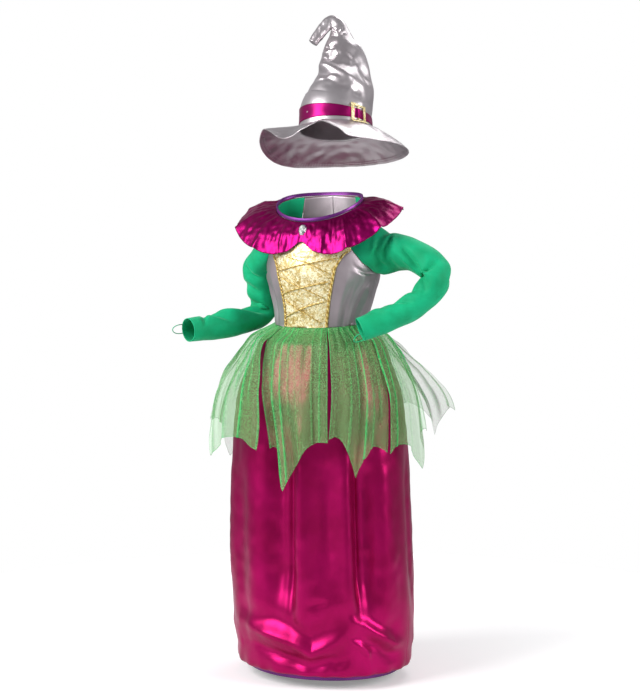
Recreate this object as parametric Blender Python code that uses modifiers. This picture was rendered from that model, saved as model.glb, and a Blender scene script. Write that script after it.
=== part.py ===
"""A child's witch costume: a long dress and a pointed hat, filled out as when worn.

The dress has a raglan top with a laced gold front, a winged collar, a gathered overskirt of
seven organza petals and a long satin skirt whose bubble hem is drawn into a narrow band.

Metres, +Z up. The dress faces -Y and the wearer's left is +X. The origin is the middle of the
neck opening. A turn is an angle in degrees round the body from the front towards +X.
"""

from collections import namedtuple
from math import cos, exp, floor, pi, radians, sin

import bmesh
import bpy
from mathutils import Matrix, Vector

# Driving dimensions
NECK_ABOVE_FLOOR = 1.025
HEM_ABOVE_FLOOR = 0.030
CLOTH = 0.0012
SEAM = 0.0003
SEAM_TURN = 0.13
WAIST_HEIGHT = -0.247
WAIST_DIP = 0.010
NECK_FRONT = -0.030
NECK_BACK = 0.030
NECK_SIDE_RISE = 0.012
SKIRT_DEPTH_RATIO = 0.85
SKIRT_TOP_INSET = 0.0015
VIEW_TURN = 26.0
MERGE_DISTANCE = 0.00002

HEM_HEIGHT = HEM_ABOVE_FLOOR - NECK_ABOVE_FLOOR

# Sections of the body of the dress
TorsoRow = namedtuple("TorsoRow", "height half_width half_depth shift")
TORSO = (
    TorsoRow(-0.270, 0.1045, 0.0845, 0.003),
    TorsoRow(-0.247, 0.1050, 0.0850, 0.003),
    TorsoRow(-0.220, 0.1080, 0.0880, 0.005),
    TorsoRow(-0.180, 0.1180, 0.0950, 0.007),
    TorsoRow(-0.141, 0.1290, 0.1010, 0.008),
    TorsoRow(-0.100, 0.1280, 0.0980, 0.008),
    TorsoRow(-0.065, 0.1190, 0.0880, 0.005),
    TorsoRow(-0.030, 0.1050, 0.0730, 0.002),
    TorsoRow(0.000, 0.0990, 0.0690, 0.000),
    TorsoRow(0.040, 0.0950, 0.0660, 0.000),
)

# The gold front's edge, and the edge of the side front that a row of cloth joins it to
PanelRow = namedtuple("PanelRow", "height turn outer_height outer_turn")
SIDE_FRONT = (
    PanelRow(-0.270, 30.0, -0.270, 90.0),
    PanelRow(-0.228, 30.2, -0.222, 90.0),
    PanelRow(-0.200, 30.5, -0.195, 90.0),
    PanelRow(-0.175, 31.2, -0.168, 90.0),
    PanelRow(-0.150, 32.0, -0.141, 90.0),
    PanelRow(-0.130, 33.5, -0.138, 83.0),
    PanelRow(-0.115, 37.0, -0.130, 75.0),
    PanelRow(-0.100, 42.5, -0.118, 63.0),
    PanelRow(-0.0885, 49.0, -0.101, 55.0),
)
SIDE_SEAM_ROWS = 5

# The raglan seams from underarm to neckline, before and behind the arm
RaglanRow = namedtuple("RaglanRow", "share front_turn front_height back_turn back_height")
RAGLAN = (
    RaglanRow(0.00, 90.0, -0.1410, 90.0, -0.141),
    RaglanRow(0.12, 83.0, -0.1380, 97.0, -0.138),
    RaglanRow(0.26, 75.0, -0.1300, 105.0, -0.130),
    RaglanRow(0.40, 63.0, -0.1180, 117.0, -0.118),
    RaglanRow(0.52, 55.0, -0.1010, 125.0, -0.098),
    RaglanRow(0.63, 50.5, -0.0885, 130.0, -0.080),
    RaglanRow(0.75, 46.5, -0.0680, 134.0, -0.052),
    RaglanRow(0.87, 43.3, -0.0450, 137.0, -0.014),
    RaglanRow(1.00, 40.0, -0.0180, 140.0, 0.026),
)
TIP_ROW = 5

# Sleeves: the middle line and half sizes from the armhole to the cuff
SleeveRow = namedtuple("SleeveRow", "x y z high deep")
LEFT_SLEEVE = (
    SleeveRow(0.1530, 0.000, -0.0940, 0.0490, 0.0450),
    SleeveRow(0.2240, -0.002, -0.1010, 0.0350, 0.0360),
    SleeveRow(0.2820, -0.014, -0.1430, 0.0320, 0.0340),
    SleeveRow(0.2450, -0.036, -0.2010, 0.0280, 0.0310),
    SleeveRow(0.1930, -0.067, -0.2340, 0.0275, 0.0275),
    SleeveRow(0.1440, -0.102, -0.2570, 0.0255, 0.0255),
)
RIGHT_SLEEVE = (
    SleeveRow(-0.1555, 0.012, -0.1250, 0.0400, 0.0440),
    SleeveRow(-0.1600, 0.026, -0.1720, 0.0360, 0.0360),
    SleeveRow(-0.1640, 0.040, -0.2320, 0.0330, 0.0270),
    SleeveRow(-0.1980, -0.052, -0.2540, 0.0300, 0.0300),
    SleeveRow(-0.2300, -0.105, -0.2610, 0.0280, 0.0280),
    SleeveRow(-0.2504, -0.144, -0.2650, 0.0260, 0.0260),
)
SLEEVE_ROWS = 10
SLEEVE_COLUMNS = 16
SHOULDER_BULGE = 0.008
SLEEVE_CLEAR = 0.0035
UNDERARM_ROWS = 3

# The collar lies outside the neckline: its width and how far it drops below level
CollarRow = namedtuple("CollarRow", "turn width drop flute")
COLLAR_HALF = (
    CollarRow(0.0, 0.048, 62.0, 0.0000),
    CollarRow(14.0, 0.070, 64.0, 0.0015),
    CollarRow(30.0, 0.086, 60.0, 0.0030),
    CollarRow(50.0, 0.098, 44.0, 0.0045),
    CollarRow(70.0, 0.100, 27.0, 0.0055),
    CollarRow(90.0, 0.093, 13.0, 0.0055),
    CollarRow(110.0, 0.090, 11.0, 0.0050),
    CollarRow(140.0, 0.088, 20.0, 0.0045),
    CollarRow(180.0, 0.085, 29.0, 0.0040),
)
COLLAR_STAND_OFF = 0.0020
COLLAR_FLUTES = 15
BINDING_HEIGHT = 0.008
BINDING_THICKNESS = 0.0035

# Brooch at the centre of the collar
BROOCH_WIDTH = 0.018
BROOCH_HEIGHT = 0.026
SETTING_THICKNESS = 0.0030
STONE_THICKNESS = 0.0040
BROOCH_SHARE = 0.45

# Laces cross the gold front in three pairs, the second of each pair on top
LacePoint = namedtuple("LacePoint", "turn height")
LACES = (
    (LacePoint(-19.5, -0.1046), LacePoint(3.0, -0.1158), LacePoint(26.4, -0.1398)),
    (LacePoint(35.0, -0.1068), LacePoint(3.0, -0.1197), LacePoint(-28.0, -0.1347)),
    (LacePoint(-27.0, -0.1488), LacePoint(-5.0, -0.1685), LacePoint(6.1, -0.1775),
     LacePoint(21.9, -0.1925)),
    (LacePoint(26.4, -0.1578), LacePoint(12.9, -0.1638), LacePoint(-0.2, -0.1700),
     LacePoint(-15.7, -0.1775), LacePoint(-27.0, -0.1850)),
    (LacePoint(-25.8, -0.1968), LacePoint(-7.6, -0.2180), LacePoint(6.1, -0.2300),
     LacePoint(20.4, -0.2461)),
    (LacePoint(22.0, -0.2011), LacePoint(9.0, -0.2076), LacePoint(-6.9, -0.2196),
     LacePoint(-25.5, -0.2346)),
)
LACE_CROSSINGS = (
    LacePoint(6.0, -0.1188),
    LacePoint(-2.5, -0.1708),
    LacePoint(-6.3, -0.2192),
)
LACE_RADIUS = 0.0012
LACE_LIFT = 0.0021
LACE_STEPS = 11
CROSSING_LIFT = 0.0032
CROSSING_SPREAD = 9.0
BRAID_WIDTH = 0.0055
BRAID_THICKNESS = 0.0010
BRAID_LIFT = 0.0019
BRAID_SCALLOPS = 12
SCALLOP_DEPTH = 0.0011
BRAID_TOP = -0.094

# The long skirt, hem first
SkirtRow = namedtuple("SkirtRow", "height half_width shift")
SKIRT = (
    SkirtRow(HEM_HEIGHT, 0.170, 0.010),
    SkirtRow(-0.990, 0.180, 0.010),
    SkirtRow(-0.975, 0.192, 0.010),
    SkirtRow(-0.945, 0.201, 0.009),
    SkirtRow(-0.860, 0.206, 0.008),
    SkirtRow(-0.750, 0.205, 0.005),
    SkirtRow(-0.618, 0.200, 0.003),
    SkirtRow(-0.528, 0.197, 0.002),
    SkirtRow(-0.462, 0.193, 0.001),
    SkirtRow(-0.394, 0.183, 0.001),
    SkirtRow(-0.336, 0.160, 0.002),
    SkirtRow(-0.281, 0.134, 0.003),
    SkirtRow(-0.237, 0.103, 0.003),
)
SKIRT_LEVELS = (1.0, 0.985, 0.96, 0.92, 0.85, 0.74, 0.62, 0.51, 0.40, 0.30, 0.21, 0.13, 0.065,
                0.018, 0.0)
SKIRT_GATHERS = 18
SKIRT_FINE_ROWS = 2
SKIRT_COLUMNS = 24
GATHER_DEPTH = 0.0017
GATHER_START = 0.012
GATHER_FADE = 0.050
YOKE_DROP = 0.035

# Long folds of the skirt: a ridge has a height above nought and a valley one below it
Fold = namedtuple("Fold", "turn spread height top bottom")
FOLDS = (
    Fold(-92.0, 9.0, -0.007, -0.50, -0.93),
    Fold(-62.0, 10.0, 0.006, -0.46, -0.90),
    Fold(-40.0, 8.0, -0.008, -0.52, -0.95),
    Fold(-8.0, 7.0, -0.013, -0.42, -0.86),
    Fold(3.0, 6.0, 0.007, -0.40, -0.95),
    Fold(21.0, 9.0, -0.006, -0.44, -0.82),
    Fold(42.0, 6.0, 0.009, -0.45, -0.93),
    Fold(52.0, 6.0, -0.014, -0.50, -0.90),
    Fold(66.0, 8.0, 0.006, -0.46, -0.95),
    Fold(100.0, 8.0, -0.010, -0.46, -0.92),
    Fold(124.0, 9.0, 0.006, -0.44, -0.95),
    Fold(146.0, 8.0, -0.010, -0.48, -0.90),
    Fold(178.0, 10.0, 0.007, -0.45, -0.94),
    Fold(205.0, 8.0, -0.011, -0.50, -0.88),
    Fold(236.0, 9.0, 0.007, -0.44, -0.95),
)
FOLD_FADE = 0.10
HEM_PUCKERS = 24
PUCKER_DEPTH = 0.0022
HEM_BAND_HEIGHT = 0.012
HEM_BAND_WALL = 0.0020

# The overskirt's petals. Edge turns are counted from the front left quarter (VIEW_TURN), at the
# waist, half way down and at the corners; the main point is the longest one, at a share of
# the petal's width from -1 to 1
Petal = namedtuple("Petal", "left_top left_mid left_low right_top right_mid right_low "
                            "left_end main_end right_end main_share flare_top flare_low")
PETALS = (
    Petal(-112.0, -108.0, -100.0, -64.0, -47.0, -38.0, -0.465, -0.540, -0.509, -1 / 3, 0.022, 0.022),
    Petal(-63.0, -43.0, -33.0, 2.0, -1.0, 1.0, -0.508, -0.596, -0.492, -1 / 2, 0.006, 0.006),
    Petal(4.0, 5.5, 2.5, 47.0, 42.0, 36.5, -0.485, -0.567, -0.517, 1 / 6, 0.006, 0.008),
    Petal(48.0, 43.5, 38.0, 95.0, 90.0, 85.0, -0.517, -0.560, -0.486, 1 / 6, 0.010, 0.018),
    Petal(96.5, 91.5, 87.0, 145.0, 142.0, 140.0, -0.442, -0.510, -0.455, 0.0, 0.010, 0.085),
    Petal(146.5, 144.0, 142.0, 196.0, 196.0, 196.0, -0.470, -0.560, -0.480, 0.0, 0.015, 0.030),
    Petal(197.5, 197.5, 198.0, 246.5, 251.0, 258.0, -0.480, -0.565, -0.470, 1 / 6, 0.018, 0.030),
)
PETAL_LEVELS = (1.0, 0.82, 0.61, 0.40, 0.20, 0.06, 0.0)
PETAL_FINE_ROWS = 2
PETAL_COLUMNS = 12
PETAL_GATHERS = 6
PETAL_FLUTES = 3
PETAL_FLUTE_DEPTH = 0.006
PETAL_ARCH = 0.036
PETAL_SEAM_LIFT = 0.0013
PETAL_CLEARANCE = 0.0070
FLARE_START = 0.020
ORGANZA = 0.0010

# Hat, in its own frame: origin in the middle of the head opening, its front at -Y
HAT_PLACE = (0.0306, 0.015, 0.170)
HAT_TILT = -13.0
CrownRow = namedtuple("CrownRow", "share x z half_width half_depth")
CROWN = (
    CrownRow(0, 0.0000, 0.0000, 0.0795, 0.0795),
    CrownRow(1, 0.0000, 0.0350, 0.0790, 0.0790),
    CrownRow(2, 0.0077, 0.0594, 0.0747, 0.0740),
    CrownRow(3, 0.0146, 0.0895, 0.0690, 0.0670),
    CrownRow(4, 0.0165, 0.1289, 0.0576, 0.0550),
    CrownRow(5, 0.0154, 0.1636, 0.0472, 0.0440),
    CrownRow(6, 0.0121, 0.1926, 0.0365, 0.0330),
    CrownRow(7, 0.0099, 0.2162, 0.0250, 0.0220),
    CrownRow(8, 0.0050, 0.2380, 0.0165, 0.0150),
    CrownRow(9, -0.0095, 0.2475, 0.0150, 0.0130),
    CrownRow(10, -0.0260, 0.2325, 0.0135, 0.0120),
    CrownRow(11, -0.0385, 0.2158, 0.0125, 0.0115),
    CrownRow(12, -0.0495, 0.1995, 0.0105, 0.0100),
)
CROWN_COLUMNS = 24
BRIM_INNER = 0.0802
BRIM_COLUMNS = 40
BrimRow = namedtuple("BrimRow", "turn radius height")
BRIM = (
    BrimRow(-180.0, 0.158, -0.038),
    BrimRow(-127.0, 0.160, -0.049),
    BrimRow(-90.0, 0.166, -0.029),
    BrimRow(-72.0, 0.164, -0.012),
    BrimRow(-44.0, 0.159, -0.052),
    BrimRow(-26.0, 0.158, -0.039),
    BrimRow(-12.0, 0.158, -0.025),
    BrimRow(0.0, 0.158, -0.039),
    BrimRow(10.0, 0.158, -0.0575),
    BrimRow(32.0, 0.158, -0.060),
    BrimRow(68.0, 0.160, -0.055),
    BrimRow(136.0, 0.158, -0.042),
    BrimRow(180.0, 0.158, -0.038),
)
BAND_LOW = 0.009
BAND_HIGH = 0.035
RIBBON = 0.0008
RIBBON_LIFT = 0.0012
BUCKLE_TURN = 37.5
BUCKLE_WIDTH = 0.037
BUCKLE_HEIGHT = 0.050
BUCKLE_RAIL = 0.0065
BUCKLE_BAR = 0.0050
BUCKLE_THICKNESS = 0.0020
BUCKLE_LIFT = 0.0041
BAR_LIFT = 0.0024
BAR_STEP = 0.006
RIBBON_OVER_BAR = 0.0023
RIBBON_OVER_HALF = 4.0
BAND_TURNS = tuple(range(-180, 30, 15)) + (22.5, 31.0, 34.5, 40.5, 44.0, 52.5) + tuple(
    range(60, 195, 15))
BUCKLE_KICK = 1.1
BUCKLE_KICK_FROM = 0.004

# Finger loops at the cuffs
LOOP_RADIUS = 0.0011
LOOP_LENGTH = 0.024
LOOP_SPREAD = 0.010
LOOP_STEPS = 10


for old in list(bpy.data.objects):
    bpy.data.objects.remove(old, do_unlink=True)
COSTUME = bpy.data.collections.new("witch_costume")
bpy.context.scene.collection.children.link(COSTUME)


def lerp(start, end, share):
    """Goes from start to end in a straight line."""
    return start + (end - start) * share


def smooth(share):
    """Rises from nought to one with level ends."""
    share = min(max(share, 0.0), 1.0)
    return share * share * (3 - 2 * share)


def hermite(start, end, leave, arrive, share):
    """A cubic between two values with a slope at each end."""
    left = 1 - share
    return (start * (1 + 2 * share) * left * left + leave * share * left * left
            + end * (3 - 2 * share) * share * share - arrive * left * share * share)


def read(rows, key):
    """Reads a table between its rows by its first column, as a smooth curve through them."""
    key = min(max(key, rows[0][0]), rows[-1][0])
    upper = next(i for i in range(1, len(rows)) if key <= rows[i][0])
    before = rows[max(upper - 2, 0)]
    low = rows[upper - 1]
    high = rows[upper]
    after = rows[min(upper + 1, len(rows) - 1)]
    span = high[0] - low[0]
    values = []
    for column in range(len(low)):
        leave = span * (high[column] - before[column]) / (high[0] - before[0])
        arrive = span * (after[column] - low[column]) / (after[0] - low[0])
        values.append(hermite(low[column], high[column], leave, arrive, (key - low[0]) / span))
    return type(low)(*values)


def all_round(rows):
    """Carries a table of turns past both ends, so that it reads smoothly where it closes."""
    first = rows[-2]._replace(turn=rows[-2].turn - 360)
    last = rows[1]._replace(turn=rows[1].turn + 360)
    return (first, *rows, last)


def wrapped(turn):
    """Brings a turn into the range from -180 to 180."""
    return (turn + 180) % 360 - 180


def finish(name, colour, roughness, metallic=0.0):
    """Makes a plain finish of one colour."""
    material = bpy.data.materials.new(name)
    material.use_nodes = True
    shader = material.node_tree.nodes["Principled BSDF"]
    shader.inputs["Base Color"].default_value = (*colour, 1.0)
    shader.inputs["Roughness"].default_value = roughness
    shader.inputs["Metallic"].default_value = metallic
    material.diffuse_color = (*colour, 1.0)
    return material


def place(name, data, material):
    """Puts a finished mesh or curve into the costume."""
    piece = bpy.data.objects.new(name, data)
    data.materials.append(material)
    COSTUME.objects.link(piece)
    return piece


def cloth(name, surface, columns, rows, material, wall=CLOTH, cut_out=None):
    """Sews one sheet: a grid laid on surface(across, along), with its wall on the inner side.

    Both run from 0 to 1, and across turned towards along gives the outside. Points that the
    surface brings together are joined, which closes a tube or thins out the columns.
    """
    sheet = bmesh.new()
    bmesh.ops.create_grid(sheet, x_segments=columns, y_segments=rows, size=0.5)
    if cut_out:
        holes = [face for face in sheet.faces
                 if cut_out(face.calc_center_median().x + 0.5, face.calc_center_median().y + 0.5)]
        bmesh.ops.delete(sheet, geom=holes, context="FACES")
    for vertex in sheet.verts:
        vertex.co = surface(vertex.co.x + 0.5, vertex.co.y + 0.5)
    bmesh.ops.remove_doubles(sheet, verts=sheet.verts, dist=MERGE_DISTANCE)
    bmesh.ops.triangulate(sheet, faces=sheet.faces)
    mesh = bpy.data.meshes.new(name)
    sheet.to_mesh(mesh)
    sheet.free()
    mesh.shade_smooth()
    piece = place(name, mesh, material)
    thickness = piece.modifiers.new("Wall", "SOLIDIFY")
    thickness.thickness = wall
    thickness.offset = -1
    return piece


def cord(name, points, radius, material):
    """Makes a round cord through the points, with filled ends."""
    curve = bpy.data.curves.new(name, "CURVE")
    curve.dimensions = "3D"
    curve.bevel_depth = radius
    curve.bevel_resolution = 1
    curve.use_fill_caps = True
    spline = curve.splines.new("POLY")
    spline.points.add(len(points) - 1)
    for knot, point in zip(spline.points, points):
        knot.co = (*point, 1.0)
    return place(name, curve, material)


def row_of(along, rows):
    """Turns a share along a sheet into the number of its row."""
    return round(along * rows)


def coarse(across, columns):
    """Moves a column to the nearest one of a coarser grid."""
    return floor(across * columns + 0.5) / columns


def level_at(levels, along):
    """Reads a short list of levels at one row of a sheet."""
    return levels[row_of(along, len(levels) - 1)]


# Body of the dress


def torso(turn, height, out=0.0):
    """A point on the body of the dress, or moved out from it."""
    row = read(TORSO, height)
    angle = radians(turn)
    outward = Vector((sin(angle) / row.half_width, -cos(angle) / row.half_depth, 0)).normalized()
    point = Vector((row.shift + row.half_width * sin(angle), -row.half_depth * cos(angle), height))
    return point + outward * out


def neck_height(turn):
    """Height of the neckline, lowest at the front."""
    angle = radians(turn)
    return lerp(NECK_FRONT, NECK_BACK, (1 - cos(angle)) / 2) + NECK_SIDE_RISE * sin(angle) ** 2


def waist_height(turn):
    """Height of the waist seam, which dips at the front."""
    return WAIST_HEIGHT - WAIST_DIP * cos(radians(turn))


def body_point(turn, height):
    """A point of a body panel, kept between the waist seam and the neckline."""
    height = min(max(height, waist_height(turn)), neck_height(turn) - SEAM)
    return torso(turn, height)


FRONT_EDGE = tuple((row.height, row.turn) for row in SIDE_FRONT) + tuple(
    (row.front_height, row.front_turn) for row in RAGLAN[TIP_ROW + 1:])
EdgeRow = namedtuple("EdgeRow", "height turn")
FRONT_EDGE_ROWS = tuple(EdgeRow(*row) for row in FRONT_EDGE)


def front_panel(across, along):
    """The gold front, from waist to neckline between its two curved edges."""
    edge = level_at(FRONT_EDGE_ROWS, along)
    bottom = waist_height(edge.turn)
    top = neck_height(edge.turn) - SEAM
    share = (min(max(edge.height, bottom), top) - bottom) / (top - bottom)
    turn = (2 * across - 1) * (edge.turn - SEAM_TURN)
    return torso(turn, lerp(waist_height(turn), neck_height(turn) - SEAM, share))


def side_front(across, along, side):
    """A satin side front, from the gold edge to the side seam and the raglan seam."""
    row = level_at(SIDE_FRONT, along)
    outer_height = row.outer_height - SEAM * (row.outer_height > RAGLAN[0].front_height)
    turn = lerp(row.turn + SEAM_TURN, row.outer_turn - SEAM_TURN * 2, across)
    height = lerp(row.height, outer_height - SEAM, across)
    return body_point(side * turn, height)


def back_panel(across, along, side):
    """One half of the back, from the side seam and the raglan seam to the centre seam."""
    outer = [(row.outer_turn, row.outer_height) for row in SIDE_FRONT[:SIDE_SEAM_ROWS]]
    outer += [(row.back_turn, row.back_height) for row in RAGLAN[1:]]
    outer_turn, outer_height = level_at(outer, along)
    centre_height = lerp(waist_height(180), neck_height(180), along)
    turn = lerp(outer_turn + SEAM_TURN * 2, 180 - SEAM_TURN, across)
    height = lerp(outer_height - SEAM, centre_height, across)
    return body_point(side * turn, height)


def mirrored(surface, side):
    """Runs a sheet of the other side backwards, so that its outside stays outside."""
    def sheet(across, along):
        return surface(across if side > 0 else 1 - across, along, side)
    return sheet


# Sleeves


def clear_of_body(point, gap):
    """Moves a point of a sleeve out to at least a gap from the body of the dress."""
    row = read(TORSO, point.z)
    inside = Vector(((point.x - row.shift) / (row.half_width + gap),
                     point.y / (row.half_depth + gap)))
    if inside.length >= 1 or point.z < TORSO[0].height:
        return point
    out = inside.normalized()
    return Vector((row.shift + out.x * (row.half_width + gap), out.y * (row.half_depth + gap),
                   point.z))


def sleeve_rings(rows, side):
    """Rings down the arm from the armhole: middle, low side, front side and half sizes."""
    underarm = torso(side * 90, RAGLAN[0].front_height + SEAM)
    numbered = [(number, *row) for number, row in enumerate(rows)]
    Numbered = namedtuple("Numbered", "number x y z high deep")
    table = tuple(Numbered(*row) for row in numbered)
    last = len(rows) - 1
    low = (underarm - Vector(rows[0][:3])).normalized()
    rings = []
    for step in range(SLEEVE_ROWS + 1):
        share = last * step / SLEEVE_ROWS
        here = read(table, share)
        ahead = read(table, min(share + 0.05, last))
        behind = read(table, max(share - 0.05, 0))
        axis = (Vector(ahead[1:4]) - Vector(behind[1:4])).normalized()
        if step == 0:
            axis = (axis - low * axis.dot(low)).normalized()
        low = (low - axis * low.dot(axis)).normalized()
        front = side * low.cross(axis)
        rings.append((Vector(here[1:4]), low, front, here.high, here.deep))
    size = (underarm - rings[0][0]).length
    rings[0] = (*rings[0][:3], size, rings[0][4])
    return rings


def ring_point(ring, across):
    """A point round a sleeve, from its low side to the front, the top and the back."""
    middle, low, front, high, deep = ring
    angle = 2 * pi * across
    return middle + low * (high * cos(angle)) + front * (deep * sin(angle))


def shoulder_point(rings, across, number, side):
    """A point of the shoulder, which is stretched between the armhole, seams and neckline."""
    row = RAGLAN[number]
    share = row.share
    underarm = ring_point(rings[0], 0)
    front = torso(side * (row.front_turn + SEAM_TURN), row.front_height + SEAM)
    back = torso(side * (row.back_turn - SEAM_TURN), row.back_height + SEAM)
    if number == len(RAGLAN) - 1:
        front = torso(side * (row.front_turn + SEAM_TURN), neck_height(row.front_turn) - SEAM)
        back = torso(side * (row.back_turn - SEAM_TURN), neck_height(row.back_turn) - SEAM)
    last = RAGLAN[-1]
    turn = lerp(last.front_turn + SEAM_TURN, last.back_turn - SEAM_TURN, across)
    neck = torso(side * turn, neck_height(turn) - SEAM)
    neck_front = torso(side * (last.front_turn + SEAM_TURN), neck_height(last.front_turn) - SEAM)
    neck_back = torso(side * (last.back_turn - SEAM_TURN), neck_height(last.back_turn) - SEAM)
    point = lerp(ring_point(rings[0], across), neck, share) + lerp(front, back, across)
    point -= lerp(underarm, lerp(neck_front, neck_back, across), share)
    outward = (point - Vector((side * 0.07, 0.0, -0.09))).normalized()
    return point + outward * (SHOULDER_BULGE * sin(pi * share) * sin(pi * across) ** 2)


def sleeve(name, rows, side, material):
    """Makes a sleeve in one sheet from the cuff up to the neckline."""
    rings = sleeve_rings(rows, side)
    total = SLEEVE_ROWS + len(RAGLAN) - 1

    def surface(across, along, _):
        number = row_of(along, total)
        if number < SLEEVE_ROWS:
            return clear_of_body(ring_point(rings[SLEEVE_ROWS - number], across), SLEEVE_CLEAR)
        point = shoulder_point(rings, across, number - SLEEVE_ROWS, side)
        if number > SLEEVE_ROWS + UNDERARM_ROWS or across in (0, 1):
            return point
        return clear_of_body(point, SLEEVE_CLEAR * sin(pi * across))

    cloth(name, mirrored(surface, side), SLEEVE_COLUMNS, total, material)
    return rings[-1]


def finger_loop(name, cuff, side, material):
    """A thin elastic loop that stands out of the cuff's upper edge."""
    middle, low, front, high, deep = cuff
    ahead = side * front.cross(low)
    round_cuff = high - CLOTH / 2
    points = []
    for step in range(LOOP_STEPS + 1):
        angle = pi * step / LOOP_STEPS
        reach = LOOP_LENGTH * sin(angle) ** 0.7 + SEAM
        sideways = LOOP_SPREAD * cos(angle)
        upward = (round_cuff ** 2 - sideways ** 2) ** 0.5
        points.append(middle - low * upward + ahead * reach + front * sideways)
    cord(name, points, LOOP_RADIUS, material)


# Collar, binding and brooch

COLLAR = all_round(tuple(row._replace(turn=-row.turn) for row in COLLAR_HALF[:0:-1]) + COLLAR_HALF)


def collar_frame(turn):
    """Start of the collar at the neckline, its way out and down, and its upper side."""
    row = read(COLLAR, wrapped(turn))
    base = torso(turn, neck_height(turn))
    outward = torso(turn, neck_height(turn), 1.0) - base
    drop = radians(row.drop)
    fall = outward * cos(drop) - Vector((0, 0, sin(drop)))
    upper = outward * sin(drop) + Vector((0, 0, cos(drop)))
    return row, base + outward * COLLAR_STAND_OFF - Vector((0, 0, SEAM)), fall, upper


def collar(across, along):
    """The collar, from its outer edge (along 0) to the neckline, with standing flutes."""
    turn = 360 * across - 180
    row, start, fall, upper = collar_frame(turn)
    share = 1 - along
    wave = cos(radians(COLLAR_FLUTES * turn + 40 * sin(radians(2 * turn))))
    lift = row.flute * wave * share ** 1.5 + 0.10 * row.width * sin(pi * share)
    return start + fall * (row.width * share) + upper * lift


def binding(across, along):
    """The satin binding that stands on the neckline, over the collar's edge."""
    turn = 360 * across - 180
    point = torso(turn, neck_height(turn), BINDING_THICKNESS - 0.001)
    point.z = neck_height(turn) + SEAM + BINDING_HEIGHT * along
    return point


def brooch(setting_material, stone_material):
    """A jewel of eight sides at the front of the collar, on its setting."""
    row, start, fall, upper = collar_frame(0)
    bulge = 0.10 * row.width * sin(pi * BROOCH_SHARE)
    seat = start + fall * (row.width * BROOCH_SHARE) + upper * (bulge + SEAM * 3)
    turned = Matrix((fall.cross(upper), fall, upper)).transposed()
    for name, width, height, low, thick, material in (
            ("brooch_setting", BROOCH_WIDTH, BROOCH_HEIGHT, 0.0, SETTING_THICKNESS, setting_material),
            ("brooch_stone", BROOCH_WIDTH * 0.72, BROOCH_HEIGHT * 0.78, SETTING_THICKNESS + SEAM,
             STONE_THICKNESS, stone_material)):
        jewel = bmesh.new()
        bmesh.ops.create_cone(jewel, cap_ends=True, segments=8, radius1=0.5, radius2=0.34, depth=1)
        bmesh.ops.rotate(jewel, verts=jewel.verts, matrix=Matrix.Rotation(pi / 8, 3, "Z"))
        for vertex in jewel.verts:
            local = Vector((vertex.co.x * width, vertex.co.y * height,
                            low + (vertex.co.z + 0.5) * thick))
            vertex.co = seat + turned @ local
        mesh = bpy.data.meshes.new(name)
        jewel.to_mesh(mesh)
        jewel.free()
        place(name, mesh, material)


# Laces and braid on the gold front


def laces(material):
    """Six cords in three crosses; the second of each pair passes over the first."""
    for number, route in enumerate(LACES):
        crossing = LACE_CROSSINGS[number // 2]
        points = []
        for step in range(LACE_STEPS + 1):
            share = step / LACE_STEPS * (len(route) - 1)
            first = min(int(share), len(route) - 2)
            turn = lerp(route[first].turn, route[first + 1].turn, share - first)
            height = lerp(route[first].height, route[first + 1].height, share - first)
            lift = LACE_LIFT
            if number % 2:
                lift += CROSSING_LIFT * exp(-((turn - crossing.turn) / CROSSING_SPREAD) ** 2)
            points.append(torso(turn, height, lift))
        cord(f"lace_{number + 1}", points, LACE_RADIUS, material)


def braid(across, along, side):
    """Scalloped braid along one edge of the gold front, just inside the seam."""
    height = lerp(waist_height(30) + 0.001, BRAID_TOP, along)
    radius = read(TORSO, height).half_width
    edge = read(FRONT_EDGE_ROWS, height).turn
    scallop = SCALLOP_DEPTH * cos(2 * pi * BRAID_SCALLOPS * along)
    inset = lerp(BRAID_WIDTH + 0.001 + scallop, 0.001, across)
    turn = edge - inset / radius * 180 / pi
    return torso(side * turn, height, BRAID_LIFT)


# Skirt and hem band


def gather(share, count, drop, depth):
    """Small waves below the waist seam, which spring out and then die away."""
    start = 0.25 + 0.75 * (1 - exp(-drop / GATHER_START))
    return -depth * start * exp(-drop / GATHER_FADE) * cos(2 * pi * count * share)


def folds(turn, height):
    """Sum of the skirt's long folds at a point."""
    total = 0.0
    for fold in FOLDS:
        away = wrapped(turn - fold.turn) / fold.spread
        ends = smooth((fold.top - height) / FOLD_FADE) * smooth((height - fold.bottom) / FOLD_FADE)
        total += fold.height * exp(-away * away) * ends
    return total


def skirt_shape(turn, height, out=0.0):
    """A point on the skirt's plain shape, which grows out of the waist seam."""
    row = read(SKIRT, height)
    top = read(TORSO, waist_height(turn))
    share = smooth((waist_height(turn) - height) / YOKE_DROP)
    half_width = lerp(top.half_width - SKIRT_TOP_INSET, row.half_width, share)
    half_depth = lerp(top.half_depth - SKIRT_TOP_INSET, row.half_width * SKIRT_DEPTH_RATIO, share)
    angle = radians(turn)
    outward = Vector((sin(angle) / half_width, -cos(angle) / half_depth, 0)).normalized()
    point = Vector((row.shift + half_width * sin(angle), -half_depth * cos(angle), height))
    return point + outward * out


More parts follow.
